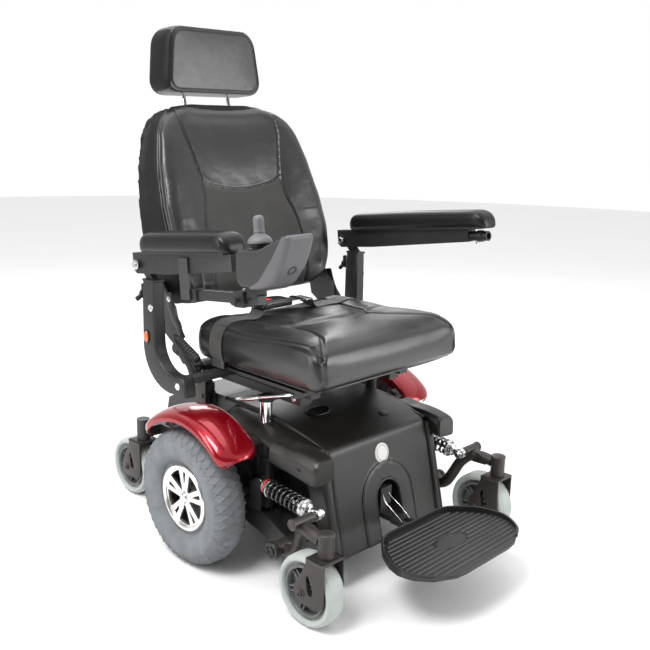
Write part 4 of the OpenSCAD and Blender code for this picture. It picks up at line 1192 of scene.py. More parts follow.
def pad(name, geo, mat, voxel, pinned, cap, pressure, calm, smooth=4):
    """A padded form: remeshed, inflated as cloth with its pinned points held, calmed, and subdivided."""
    ob = piece(name, geo, mat, None)
    rm = ob.modifiers.new("voxels", "REMESH")
    rm.mode = "VOXEL"
    rm.voxel_size = (voxel * 1.0) * MM
    sm = ob.modifiers.new("soften", "SMOOTH")
    sm.factor, sm.iterations = 0.5, smooth
    apply_all(ob)
    before = verts_mm(ob)
    grp = ob.vertex_groups.new(name="held")
    w = pinned(before)
    for value in (1.0, 0.6, 0.3):
        ids = np.where(np.abs(w - value) < 0.15)[0]
        if len(ids):
            grp.add([int(i) for i in ids], value, "REPLACE")
    cl = ob.modifiers.new("Cloth", "CLOTH")
    st = cl.settings
    st.quality = 4
    st.mass = 0.3
    st.tension_stiffness = st.compression_stiffness = 18
    st.shear_stiffness = 10
    st.bending_stiffness = 1.2
    st.use_pressure = True
    st.uniform_pressure_force = pressure
    st.vertex_group_mass = "held"
    st.effector_weights.gravity = 0
    cl.collision_settings.use_collision = False
    cl.point_cache.frame_start, cl.point_cache.frame_end = 1, 20
    for f in range(1, 21):
        bpy.context.scene.frame_set(f)
    apply_all(ob)
    bpy.context.scene.frame_set(1)
    after = verts_mm(ob)
    move = after - before
    ends = np.array([e.vertices[:] for e in ob.data.edges])
    count = np.maximum(1, np.bincount(ends.ravel(), minlength=len(move)))[:, None]
    for _ in range(calm):
        total = np.zeros_like(move)
        np.add.at(total, ends[:, 0], move[ends[:, 1]])
        np.add.at(total, ends[:, 1], move[ends[:, 0]])
        move = (0.5 * move + 0.5 * total / count) * (1 - w)[:, None]
    size = np.linalg.norm(move, axis=1)
    k = cap * np.tanh(size / cap) / np.maximum(size, 1e-6)
    set_verts(ob, before + move * k[:, None])
    sub = ob.modifiers.new("round", "SUBSURF")
    sub.levels = sub.render_levels = 1
    apply_all(ob)
    ob.data.shade_smooth()
    return ob


def normals(ob):
    n = np.empty(len(ob.data.vertices) * 3)
    ob.data.vertices.foreach_get("normal", n)
    return n.reshape(-1, 3)


def press_in(ob, depth, width, distance, where):
    """Presses a sewn channel into a pad along the points near a path."""
    v, n = verts_mm(ob), normals(ob)
    d = np.where(where, distance, 1e9)
    set_verts(ob, v - n * (depth * np.exp(-(d / width) ** 2))[:, None])


def surface(ob):
    me = ob.data
    return BVHTree.FromPolygons([v.co for v in me.vertices], [p.vertices for p in me.polygons])


def drop_on(bvh, points, direction):
    """Hits of rays through axle-frame points, in drive-axle millimetres, with normals."""
    hits = []
    for p in place(points):
        loc, nrm, _, _ = bvh.ray_cast(Vector(p), Vector(direction))
        hits.append(None if loc is None else (np.array(loc) / MM - [0, AXLE_Y, 0], np.array(nrm)))
    return hits


def stitches(hits, length=4.2, pitch=6.5, r=0.55, lift=0.25):
    """Short thread stitches laid along a row of surface hits."""
    hits = [h for h in hits if h is not None]
    g = Geo()
    if len(hits) < 3:
        return g
    p = np.array([h[0] for h in hits])
    n = np.array([h[1] for h in hits])
    s = np.concatenate([[0], np.cumsum(np.linalg.norm(np.diff(p, axis=0), axis=1))])
    for a in np.arange(pitch, s[-1] - pitch, pitch):
        ends = ((a, -0.4), (a + 0.25 * length, lift), (a + 0.75 * length, lift), (a + length, -0.4))
        pts = [np.array([np.interp(t, s, p[:, k]) + np.interp(t, s, n[:, k]) * h for k in range(3)])
               for t, h in ends]
        g.merge(tube(pts, r, 5, up=tuple(n[min(len(n) - 1, np.searchsorted(s, a))])))
    return g


def piping(hits, r, lift=0.0):
    hits = [h for h in hits if h is not None]
    path = np.array([h[0] + h[1] * lift for h in hits])
    k = np.ones(5) / 5
    for i in range(3):
        inner = np.convolve(np.pad(path[:, i], 2, mode="edge"), k, "valid")
        path[2:-2, i] = inner[2:-2]
    return tube(path, r, 10)


LEAN = 12.4
BACK_Y, BACK_Z = 118.0, 478.0
back_out = reclined(LEAN, BACK_Y, BACK_Z)
back_in = from_frame(LEAN, BACK_Y, BACK_Z)
BACK_W = np.array([(98, 216), (124, 244), (170, 267), (250, 280), (330, 278), (432, 264), (508, 244),
                   (542, 224), (566, 192), (581, 140), (589, 70)], float)
BACK_F = np.array([(98, -6), (112, -24), (135, -34), (200, -35), (260, -29), (340, -17), (390, -9), (443, -3),
                   (486, 2), (530, 11), (558, 20), (574, 31), (589, 47)], float)


def back_half(z):
    return np.interp(z, *BACK_W.T)


def back_front(z):
    return np.interp(z, *BACK_F.T)


def smooth_line(points, steps=8):
    return smooth_path([(x, 0.0, z) for x, z in points], steps)[:, [0, 2]]


HEAD_SEAM = smooth_line(mirrored([(154, 571), (154, 558), (152, 512), (141, 463), (133, 424), (126, 396),
                                  (108, 381), (80, 373), (40, 366)], [(0, 363)]))
SIDE_SEAM = [smooth_line([(s * x, z) for x, z in ((127, 392), (130, 340), (143, 300), (150, 260),
                                                  (152, 180), (150, 112))]) for s in (RIGHT, LEFT)]
EDGE_SEAM = [np.array([(s * (back_half(z) - 25 * min(1, back_half(z) / 200)), z)
                       for z in np.linspace(116, 571, 60)]) for s in (RIGHT, LEFT)]


def back_cushion():
    rings = []
    for z in np.concatenate([np.linspace(100, 545, 66), np.linspace(549, 587, 14)]):
        w, f = back_half(z), back_front(z) + 6
        wing = 13 * min(1.0, max(0.0, (590 - z) / 200)) * min(1.0, (z - 80) / 60)
        k = min(1.0, w / 190)
        crown = 1.0 if 120 < z < 555 else 0.5
        half = [(0, f + 9 * crown), (60 * k, f + 8 * crown), (110 * k, f + 4 * crown),
                (145 * k, f - 0.2 * wing), (w - 74 * k, f - 0.9 * wing), (w - 56 * k, f - 1.25 * wing),
                (w - 40 * k, f - wing), (w - 30 * k, f - 0.4 * wing), (w - 23 * k, f + 0.35 * wing + 5),
                (w - 16 * k, min(50, f + 27)), (w - 8 * k, min(55, f + 50)), (w + 2, 55), (w + 2, 60),
                (w - 7, 63), (w * 0.5, 63.5), (0, 64)]
        ring = half + [(-x, y) for x, y in half[-2:0:-1]]
        rings.append([(x, y, z) for x, y in ring])
    g = grid(rings).mapped(back_out)

    def held(mm):
        p = back_in(mm)
        w = np.where(p[:, 1] > 52, 1.0, 0.0)
        flat = p[:, [0, 2]]
        for path in [HEAD_SEAM] + SIDE_SEAM + EDGE_SEAM:
            d = to_polyline(flat, path)
            w = np.maximum(w, np.where((d < 7) & (p[:, 1] < 45), 1.0,
                                       np.where((d < 13) & (p[:, 1] < 45), 0.6, 0.0)))
        return w

    ob = pad("back_cushion_cover", g, vinyl, 6.0, held, 10, 3.4, 26)
    p = back_in(verts_mm(ob))
    flat, front = p[:, [0, 2]], p[:, 1] < back_front(p[:, 2]) + 34
    press_in(ob, 4.6, 4.0, to_polyline(flat, HEAD_SEAM), front)
    for path in SIDE_SEAM:
        press_in(ob, 4.2, 3.6, to_polyline(flat, path), front)
    for path in EDGE_SEAM:
        press_in(ob, 3.4, 3.2, to_polyline(flat, path), front)
    # gentle folds that run down from the head panel's seam and across the foot of the back
    v, n = verts_mm(ob), normals(ob)
    p = back_in(v)
    x, z = p[:, 0], p[:, 2]
    fold = (0.6 * np.sin(x / 17 + 2.2 * np.sin(z / 90)) * np.exp(-((z - 345) / 26) ** 2)
            + 0.4 * np.sin(x / 11 + z / 60) * np.exp(-((z - 392) / 12) ** 2)
            + 1.5 * np.sin(z / 13 + x / 70) * np.exp(-((np.abs(x) - 190) / 26) ** 2) * (z < 300))
    fold[(p[:, 1] > back_front(z) + 30)] = 0
    set_verts(ob, v + n * fold[:, None])
    # the boxing round the edge and the perforated lower panel are other cloths
    me = ob.data
    me.materials.append(perf)
    me.materials.append(vinyl_side)
    centres = np.array([f.center for f in me.polygons]) / MM - [0, AXLE_Y, 0]
    c = back_in(centres)
    edge = back_half(c[:, 2]) - 25 * np.minimum(1, back_half(c[:, 2]) / 200)
    side = (np.abs(c[:, 0]) > edge) & (c[:, 1] > back_front(c[:, 2]) - 4) | (c[:, 1] > 40)
    seam_x = np.interp(c[:, 2], SIDE_SEAM[1][::-1, 1], SIDE_SEAM[1][::-1, 0])
    bottom = np.interp(np.abs(c[:, 0]), [0, 40, 80, 108, 126], [363, 366, 373, 381, 394])
    panel = (np.abs(c[:, 0]) < seam_x) & (c[:, 2] < bottom) & (c[:, 1] < 20)
    kind = np.where(side, 2, np.where(panel, 1, 0)).astype(np.int32)
    me.polygons.foreach_set("material_index", kind)
    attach(ob, "back")
    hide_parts("back_cushion")
    # threads and piping
    bvh = surface(ob)
    away = back_out([(0, 1, 0)])[0] - back_out([(0, 0, 0)])[0]
    thread_rows, cord_rows = Geo(), Geo()

    def row(path, offset):
        path = np.asarray(path)
        t = np.gradient(path, axis=0)
        t /= np.linalg.norm(t, axis=1)[:, None]
        off = path + np.column_stack([-t[:, 1], t[:, 0]]) * offset
        pts = back_out(np.column_stack([off[:, 0], np.full(len(off), -120.0), off[:, 1]]))
        return drop_on(bvh, pts, away)

    thread_rows.merge(stitches(row(HEAD_SEAM, 6)))
    for path in SIDE_SEAM:
        thread_rows.merge(stitches(row(path, 5 if path[0][0] > 0 else -5)))
    for path in EDGE_SEAM:
        inward = 1 if path[0][0] > 0 else -1
        for o in (6, 12):
            thread_rows.merge(stitches(row(path, o * inward)))
        cord_rows.merge(piping(row(path, 0), 2.3, 0.6))
    piece("back_cushion_stitching", thread_rows, thread, "back", angle=180)
    piece("back_cushion_piping", cord_rows, vinyl, "back", angle=180)


SEAT_TOP = 568.0


def seat_profile(y):
    """Height of the seat's top along its length."""
    return np.interp(y, [-326, -318, -306, -288, -262, -200, -120, 0, 60, 80, 85],
                     [520, 541, 553, 561, 564.5, 563, 556, 555, 555, 548, 535])


FRONT_SEAM = [np.array([(s * x, z) for x, z in ((214, 462), (217, 500), (219, 530), (219, 558))])
              for s in (RIGHT, LEFT)]
TOP_SEAM = [smooth_path([(s * x, y, 0) for x, y in ((219, -322), (211, -312), (190, -288), (166, -258),
                                                    (135, -192), (126, -140), (128, -110), (139, -84),
                                                    (150, 70))], 8)[:, :2] for s in (RIGHT, LEFT)]
RIM_SEAM = [smooth_path([(s * x, y, 0) for x, y in ((219, -318), (224, -250), (228, -180), (230, -60),
                                                    (230, 70))], 8)[:, :2] for s in (RIGHT, LEFT)]


def seat_cushion():
    rings = []
    for y in np.concatenate([[-325, -322, -317, -310, -301], np.linspace(-290, 70, 60), [76, 80, 82.5]]):
        e = max(0.0, (-296 - y) / 30)
        k = math.sqrt(max(0.02, 1 - e ** 2.2)) * 0.05 + 0.95
        if y > 70:
            k = 0.99
        w, top, low = 238 * k, seat_profile(y) - 2, 457.5 + 16 * e ** 2
        roll = 0.0 if y < -300 else 1.0
        dish = 11 * math.exp(-((y + 90) / 170) ** 2) * roll
        crease = 5 * math.exp(-((y + 118) / 20) ** 2) * roll
        half = [(0, top - dish - crease), (60, top - dish * 0.9 - crease),
                (110, top - dish * 0.5 - crease * 0.6), (145, top - 1), (178, top + 2.5 * roll),
                (203, top + 1.0 * roll), (w - 13, top - 5), (w - 4, top - 17), (w - 0.5, top - 36),
                (w + 1, (top + low) / 2), (w - 1, low + 22), (w - 6, low + 7), (w - 16, low + 1),
                (w * 0.6, low), (0, low)]
        ring = half + [(-x, z) for x, z in half[-2:0:-1]]
        rings.append([(x, y, z) for x, z in ring])
    g = grid(rings)

    def held(mm):
        w = np.where(mm[:, 2] < 466, 1.0, 0.0)
        w = np.where(mm[:, 1] > 74, 1.0, w)
        up = mm[:, 2] > 535
        for path in TOP_SEAM:
            d = to_polyline(mm[:, :2], path)
            w = np.maximum(w, np.where((d < 7) & up, 1.0, np.where((d < 13) & up, 0.6, 0.0)))
        for path in RIM_SEAM:
            d = to_polyline(mm[:, :2], path)
            w = np.maximum(w, np.where((d < 6) & up, 0.6, 0.0))
        for path in FRONT_SEAM:
            d = to_polyline(mm[:, [0, 2]], path)
            w = np.maximum(w, np.where((d < 7) & (mm[:, 1] < -290), 1.0, 0.0))
        return w

    ob = pad("seat_cushion_cover", g, vinyl, 6.0, held, 10, 3.6, 3)
    v, n = verts_mm(ob), normals(ob)
    up, front = n[:, 2] > 0.35, (v[:, 1] < -285)
    for path in TOP_SEAM:
        press_in(ob, 4.8, 4.2, to_polyline(v[:, :2], path), up & (v[:, 2] > 530))
    for path in RIM_SEAM:
        press_in(ob, 2.6, 3.0, to_polyline(v[:, :2], path), up & (v[:, 2] > 530))
    for path in FRONT_SEAM:
        press_in(ob, 4.2, 3.8, to_polyline(v[:, [0, 2]], path), front)
    # creases: across the middle of the top, and short ones at the front seams
    v, n = verts_mm(ob), normals(ob)
    x, y, z = v.T
    top = (n[:, 2] > 0.5)
    fold = top * (1.6 * np.sin(y / 8.5 + 0.8 * np.sin(x / 60)) * np.exp(-((y
            + 118) / 30) ** 2) * (np.abs(x) < 190) + 1.0 * np.sin(x / 21 + y / 37
                                                                  + 2 * np.sin(y / 80)) * np.exp(-((y
            + 40) / 120) ** 2))
    flank = ~top * (np.abs(y) < 300)
    fold = fold + flank * 1.1 * np.sin(y / 26 + 1.3 * np.sin(z / 30)) * np.exp(-((z - 520) / 30) ** 2)
    near = np.exp(-((np.abs(x) - 218) / 34) ** 2) * (y < -290)
    fold = fold + near * 1.1 * np.sin(z / 9 + np.abs(x) / 40)
    set_verts(ob, v + n * fold[:, None])
    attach(ob, "seat")
    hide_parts("seat_cushion")
    bvh = surface(ob)
    rows = Geo()
    for path in TOP_SEAM:
        t = np.gradient(path, axis=0)
        t /= np.linalg.norm(t, axis=1)[:, None]
        for o in (-5.5, 5.5):
            off = path + np.column_stack([-t[:, 1], t[:, 0]]) * o
            rows.merge(stitches(drop_on(bvh, np.column_stack([off, np.full(len(off), 640.0)]), (0, 0, -1))))
    for s, path in zip((RIGHT, LEFT), RIM_SEAM):
        for o in (-6, -12):
            off = path + [s * o, 0]
            rows.merge(stitches(drop_on(bvh, np.column_stack([off, np.full(len(off), 640.0)]), (0, 0, -1))))
    for s, path in zip((RIGHT, LEFT), FRONT_SEAM):
        dense = np.column_stack([np.interp(np.linspace(466, 552, 30), path[:, 1], path[:, 0] + s * 6),
                                 np.full(30, -420.0), np.linspace(466, 552, 30)])
        rows.merge(stitches(drop_on(bvh, dense, (0, 1, 0))))
    piece("seat_cushion_stitching", rows, thread, "seat", angle=180)
    # welt round the foot of the cushion
    loop = mirrored([(228, 80), (229, -250), (226, -296), (212, -314), (180, -320)])
    path = smooth_path([(x, y, 463) for x, y in loop], 8)
    centre = np.array([0, -120, 463.0])
    hits = []
    for q in path:
        d = centre - q
        d[0] = -np.sign(q[0]) * 240 if abs(q[0]) > 215 else 0
        d[1] = 0 if abs(q[0]) > 215 else 240
        d[2] = 0
        start = q - d / np.linalg.norm(d) * 60
        loc, nrm, _, _ = bvh.ray_cast(Vector(place(start)[0]), Vector(d / np.linalg.norm(d)))
        if loc is not None:
            hits.append((np.array(loc) / MM - [0, AXLE_Y, 0], np.array(nrm)))
    piece("seat_cushion_welt", piping(hits, 2.4, 0.5), vinyl, "seat", angle=180)


HEAD_Y, HEAD_Z, HEAD_LEAN = 350.0, 1143.0, 5.0
HEAD_W, HEAD_H = 318, 164


def narrowing(z):
    """The headrest's share of its full width at height z above its middle."""
    return 1 - 0.13 * (z + HEAD_H / 2) / HEAD_H


def headrest():
    out, back = reclined(HEAD_LEAN, HEAD_Y, HEAD_Z), from_frame(HEAD_LEAN, HEAD_Y, HEAD_Z)
    rings = []
    for t in np.concatenate([[-43.5, -42, -38, -32, -25], np.linspace(-18, 22, 12), [28, 34, 39, 42, 43.5]]):
        e = min(1.0, abs(t) / 44)
        k = (1 - e ** 5) ** 0.5 * 0.13 + 0.87
        ring = []
        for x, z in soft_rect(HEAD_W, HEAD_H, 40, 8):
            taper = narrowing(z) - 0.03 * max(0.0, z / 82) ** 3
            bow = 8 * (1 - (x / 159) ** 2) * (1 - (z / 82) ** 2)
            ring.append((x * k * taper, t - (bow if t < 0 else 0.3 * bow) * e, z * (k * 0.6 + 0.4)))
        rings.append(ring)
    g = grid(rings).mapped(out)
    seam = np.array([(x * narrowing(z) * 0.90, z * 0.90) for x, z in soft_rect(HEAD_W, HEAD_H, 34, 8)])
    seam = np.vstack([seam, seam[:1]])

    def held(mm):
        p = back(mm)
        w = np.where(p[:, 1] > 34, 1.0, 0.0)
        d = to_polyline(p[:, [0, 2]], seam)
        return np.maximum(w, np.where((d < 6) & (p[:, 1] < 0), 1.0, 0.0))

    ob = pad("headrest_cover", g, vinyl, 5.0, held, 7, 3.2, 8)
    p = back(verts_mm(ob))
    press_in(ob, 1.6, 2.6, to_polyline(p[:, [0, 2]], seam), p[:, 1] < 0)
    ob.data.materials.append(vinyl_side)
    c = back(np.array([f.center for f in ob.data.polygons]) / MM - [0, AXLE_Y, 0])
    reach = 0.895 * narrowing(c[:, 2]) * HEAD_W / 2
    ob.data.polygons.foreach_set("material_index", ((np.abs(c[:, 0]) > reach) | (c[:,
            1] > 20)).astype(np.int32))
    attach(ob, "headrest")
    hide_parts("headrest")
    bvh = surface(ob)
    inner = np.array([(x * narrowing(z) * 0.868, z * 0.86) for x, z in soft_rect(HEAD_W, HEAD_H, 34, 14)])
    inner = np.vstack([inner, inner[:1]])
    away = out([(0, 1, 0)])[0] - out([(0, 0, 0)])[0]
    hits = drop_on(bvh, out(np.column_stack([inner[:, 0], np.full(len(inner), -150.0), inner[:, 1]])), away)
    piece("headrest_stitching", stitches(hits), thread, "headrest", angle=180)


TILT = 6.5
ARM_X, ARM_Y, ARM_Z = 334.0, 145.0, 683.0


def arm_map(s):
    return reclined(TILT, ARM_Y, ARM_Z, s * ARM_X)


def arm_pad(s):
    """Moulded foam pad: a bull-nosed bar with a crowned top and a parting line."""
    n = NAME[s]
    rear, front = (-36, -482) if s == LEFT else (-27, -336)
    rings = []
    steps = np.concatenate([[0, 0.004, 0.012, 0.025, 0.045, 0.07, 0.10], np.linspace(0.14, 0.86, 24),
                            [0.90, 0.93, 0.955, 0.975, 0.988, 0.996, 1.0]])
    length = rear - front
    for t in steps:
        y = rear - length * t
        d = min(rear - y, y - front)
        r = 34.0 if t > 0.5 else 26.0
        e = max(0.0, 1 - d / r)
        kx = math.sqrt(max(0.0, 1 - e ** 2.4)) * (0.55 if t > 0.5 else 0.45) + (0.45 if t > 0.5 else 0.55)
        kz = math.sqrt(max(0.0, 1 - e ** 2.0)) * 0.80 + 0.20
        crown = 2.5 * math.sin(math.pi * t)
        w, h = 34.6 * kx, 22.3 * kz
        mid = 27.0 + h
        sec = []
        for a in np.linspace(0, 2 * math.pi, 41)[:-1]:
            c, q = math.cos(a), math.sin(a)
            x = w * math.copysign(abs(c) ** 0.52, c)
            z = h * math.copysign(abs(q) ** (0.55 if q < 0 else 0.72), q)
            if q > 0:
                z += crown * (1 - (x / 35) ** 2)
            sec.append((x, y, mid + z))
        rings.append(sec)
    g = grid(rings).mapped(arm_map(s))
    ob = piece("arm_pad_%s_skin" % n, g, foam_skin, "arm_" + n, ["arm_pad_" + n], angle=180,
               subd=1)
    # carrier plate under the pad and its screws
    under = rbox((-27, front + 12, 26.4), (27, rear - 8, 30.5), 1.2)
    for y in np.linspace(front + 60, rear - 50, 3):
        under.merge(bolt((0, y, 26.2), (0, 0, -1), 5.0, 2.0))
    piece("arm_pad_%s_carrier" % n, under.mapped(arm_map(s)), powder, "arm_" + n, angle=35)


back_cushion()
seat_cushion()
headrest()
for s in (RIGHT, LEFT):
    arm_pad(s)


# ---------------------------------------------------------------- armrest receivers, posts and knobs

def receiver(s):
    """The curved arm from under the seat up to the armrest's socket."""
    n = NAME[s]
    outline = ([(91, 650), (131, 650), (135, 600), (136.5, 503)] + arc(36, 503, 100.5, -4, -96, 26)
               + [(-10, 404.5), (-24, 405.5), (-24, 432), (-14, 447), (6, 449)]
               + arc(20, 515, 68, -96, -2, 22) + [(88.5, 560)])
    g = plate([outline], 33, 6.5, (s * ARM_X, 0, 0), steps=5)
    g.merge(lathe([(9.5, 0), (9.5, 6.5), (8.6, 7.4), (0.2, 7.4)], (s * ARM_X, 131, 613), (0, 1, 0), 28))
    g.merge(plate([round_loop([(-17, -22), (17, -22), (17, 22), (-17, 22)], 4)], 5, 1.4,
                  (s * ARM_X, 110.5, 650.5), ex=(1, 0, 0), ey=(0, 1, 0)))
    piece("receiver_%s_casting" % n, g, powder, "seat", ["armrest_receivers"], angle=40)
    for y, z in ((2, 428), (100, 590)):
        piece("receiver_%s_screw_%d" % (n, z), bolt((s * (ARM_X + 16.4), y, z), (s, 0, 0), 5.5, 3.2),
              bright, "seat", angle=35)
    oval = [(7.5 * math.cos(a), 13 * math.sin(a)) for a in np.linspace(0, 2 * math.pi, 37)[:-1]]
    base = plate([[(x * 1.32, y * 1.22) for x, y in oval]], 3.4, 1.2, (s * (ARM_X + 17.6), 117, 520))
    piece("reflector_%s_rim" % n, base, rim_dark, "seat", angle=40)
    dome = []
    for k, h in ((1.0, 1.2), (0.96, 2.3), (0.84, 3.4), (0.6, 4.2), (0.3, 4.6), (0.02, 4.7)):
        dome.append([(s * (ARM_X + 17.6 + h), 117 + y * k, 520 + z * k) for y, z in oval])
    piece("reflector_%s_lens" % n, grid(dome, caps=False), orange, "seat", angle=180)


def star(s):
    n = NAME[s]
    g = lathe([(4, -14), (4, 2)], (s * ARM_X, 141, 613), (0, 1, 0), 20)
    hub = lathe([(7, 0), (10.5, 1.5), (11.2, 5), (10.5, 9), (8.8, 11.6), (0.2, 12.2)],
                (s * ARM_X, 145.5, 613), (0, 1, 0), 32)
    g.merge(hub)
    for i in range(3):
        a = math.radians(90 + 120 * i)
        d = np.array([math.cos(a), math.sin(a)])
        rings = []
        for t, w, h in ((4, 6.2, 5.2), (10, 5.4, 5.0), (15, 5.2, 5.0), (19, 6.0, 5.2), (22.3, 5.2, 4.4),
                        (23.6, 2.4, 2.2)):
            c = np.array([s * ARM_X + d[0] * t, 151.6, 613 + d[1] * t])
            sd = np.array([-d[1], 0, d[0]])
            rings.append([c + sd * w * math.cos(q) + np.array([0, 1, 0]) * h * math.sin(q)
                          for q in np.linspace(0, 2 * math.pi, 21)[:-1]])
        g.merge(grid(rings))
    piece("star_knob_%s_lobes" % n, g, black_rubber, "star_knob_" + n, ["star_knob_" + n], angle=50)


for s in (RIGHT, LEFT):
    receiver(s)
    star(s)
cross = rbox((-318, -15, 430.8), (318, 15, 446.2), 2.5)
piece("receiver_cross_tube", cross, powder, "seat", angle=35)
repaint("arm_post_right", powder, 1.6)
repaint("arm_post_left", powder, 1.6)
repaint("arm_bar_right", powder, 1.8)
repaint("arm_bar_left", powder, 1.8)
for s in (RIGHT, LEFT):
    n = NAME[s]
    at = arm_map(s)([(0, 0, 0)])[0]
    for q in (RIGHT, LEFT):
        g = bolt(at + [q * 23.4, 0, 0], (q, 0, 0), 7.6, 4.2)
        g.merge(lathe([(10, 0), (10, 1.2), (9.2, 1.9), (4, 1.9)], at + [q * 22.4, 0, 0], (q, 0, 0), 32))
        piece("arm_hinge_%s_bolt_%s" % (n, NAME[q]), g, bright, "arm_" + n, angle=35)
# end cap and grub screw of the accessory tube
cap_at = arm_map(LEFT)([(0, -443, 8), (0, -444, 8), (0, -474.5, 8)])
tube_dir = cap_at[2] - cap_at[0]
piece("accessory_tube_collar", lathe([(12.3, -8), (14.2, -7), (14.4, 0), (14.0, 6), (12.3, 7)], cap_at[0]
                                     + tube_dir * 0.3, tube_dir, 40, caps=False), powder, "arm_left",
      angle=50)
piece("accessory_tube_screw", bolt(cap_at[0] + tube_dir * 0.3 + np.array([0, 0, -14.0]), (0, 0, -1), 4.2,
                                   4), bright, "arm_left", angle=35)

# ---------------------------------------------------------------- joystick controller

def controller():
    arm = arm_map(RIGHT)
    case = round_loop([(-366, -22), (-371, 36.6), (-431, 36.6), (-517, 63.5), (-522, 54), (-500, 10),
                       (-463, -29), (-428, -36.5), (-379, -35.5)], 9, 6)
    g = plate([case], 69, 7.0, (0, 0, 0), steps=5)
    piece("controller_case_body", g.mapped(arm), case_dark, "controller",
          ["controller_case"], angle=50)
    # lighter front bulge, a loft across the width with a rounded section
    front = smooth_path([(0, -519.5, 65.4), (0, -524.5, 55), (0, -503, 9), (0, -485, -13), (0, -464, -30.5),
                         (0, -428, -38.2), (0, -408, -38.0)], 7)[:, 1:]
    back = smooth_path([(0, -511, 62.2), (0, -497, 44), (0, -479, 22), (0, -462, 4), (0, -447, -12),
                        (0, -432, -24), (0, -410, -33)], 7)[:, 1:]
    rings = []
    for x in np.concatenate([[-36.4, -35.9, -34.6, -32, -28], np.linspace(-24, 24, 13),
                             [28, 32, 34.6, 35.9, 36.4]]):
        e = max(0.0, (abs(x) - 27) / 9.4)
        k = math.sqrt(max(0.0, 1 - e ** 2.2))
        ring = [b + (f - b) * (0.30 + 0.70 * k) for f, b in zip(front, back)] + [b for b in back[::-1]]
        rings.append([(x, y, z) for y, z in ring])
    piece("controller_case_front", grid(rings).mapped(arm), case_light, "controller",
          angle=70)
    # charger socket and the small hole beside it
    n = np.array([0, -0.79, -0.61])
    a0, a1 = arm(np.array([[0, -494.5, -2.5], [0, -494.5, -2.5] + n]))
    d = a1 - a0
    piece("charger_socket", lathe([(6.2, -7), (6.2, 0.6), (8.6, 1.5), (10.2, 1.1), (10.9, -0.4),
                                   (10.9, -3)], a0, d, 40), rim_dark, "controller",
          angle=50)
    for i in range(3):
        t = math.radians(90 + i * 120)
        side, upv = np.array([1.0, 0, 0]), np.cross(d, [1.0, 0, 0])
        c = a0 + side * 3 * math.cos(t) + upv * 3 * math.sin(t)
        piece("charger_pin_%d" % (i + 1), lathe([(0.9, -6), (0.9, -1.4), (0.4, -0.8)], c, d, 12), bright,
              "controller", angle=40)
    b0 = arm([(-14, -470, -26.0)])[0]
    piece("programming_hole", lathe([(1.2, -3), (1.4, 0.2), (3.0, 0.5), (3.4, -0.5)], b0, d, 24), rim_dark,
          "controller", angle=50)
    # keypad on the sloping deck
    slope = math.radians(17.2)
    ey = np.array([0, math.cos(slope), -math.sin(slope)])
    up = np.array([0, math.sin(slope), math.cos(slope)])
    mid = np.array([0, -475, 50.7])

    def deck(x, y, h=0.0):
        return mid + [x, 0, 0] + ey * y + up * h

    pad_g = plate([round_loop([(-27, -31), (27, -31), (27, 30), (-27, 30)], 7)], 1.8, 0.6, deck(0, 0, 0.3),
                  ex=(1, 0, 0), ey=ey)
    piece("keypad_membrane", pad_g.mapped(arm), rim_dark, "controller", angle=40)
    keys = Geo()
    for x, y in ((-17, -8), (17, -8), (-17, 10), (17, 10), (0, 19)):
        keys.merge(plate([round_loop([(-6.5, -4.2), (6.5, -4.2), (6.5, 4.2), (-6.5, 4.2)], 3.5)], 2.6, 1.0,
                         deck(x, y, 1.2), ex=(1, 0, 0), ey=ey))
    piece("keypad_keys", keys.mapped(arm), case_light, "controller", angle=40)
    for i in range(5):
        g = plate([round_loop([(-3.2, -1.6), (3.2, -1.6), (3.2, 1.6), (-3.2, 1.6)], 1)], 1.4, 0.4,
                  deck(-16 + 8 * i, -22, 1.0), ex=(1, 0, 0), ey=ey)
        piece("keypad_light_%d" % (i + 1), g.mapped(arm), orange if i < 2 else disc_mat, "controller",
              angle=40)
    # joystick: boot, bell and knob
    axis0, axis1 = arm([(0, -408, 0), (0, -408, 1)])
    d = axis1 - axis0
    boot = [(13.5, 34), (15.5, 36.4), (16.4, 38.4), (14.8, 40.2), (18.6, 41.6), (19.4, 43.0), (17.0, 44.6),
            (21.4, 46), (22.2, 47.6), (19, 49), (12, 50)]
    piece("joystick_bellows", lathe(boot, axis0, d, 56), black_rubber, "joystick", angle=180)
    bell = [(20, 47.8), (24, 48.2), (24.6, 50), (24.2, 53), (22, 57), (18, 61), (14.2, 63.4), (12.2, 64.8),
            (11.4, 66.2), (11.2, 67.6)]
    piece("joystick_bell", lathe(bell, axis0, d, 56), knob_mat, "joystick", ["joystick"], angle=180)
    stick = [(9.6, 64), (9.8, 67.4), (10.9, 68.4), (11.3, 70), (11.0, 72), (10.4, 73.6), (10.5, 80),
             (10.8, 88), (10.9, 92), (10.6, 95.4), (9.6, 98.4), (7.6, 100.6), (5, 101.7), (2.4, 102.2),
             (0.2, 102.3)]
    piece("joystick_knob", lathe(stick, axis0, d, 48), knob_mat, "joystick", angle=180)
    ringo = lathe([(24.4, 36.4), (27.8, 36.5), (28.6, 37.2), (27.8, 38.0), (25.8, 38.2), (24.6, 37.6)],
                  axis0, d, 56, caps=False)
    piece("joystick_bezel", ringo, rim_dark, "controller", angle=60)
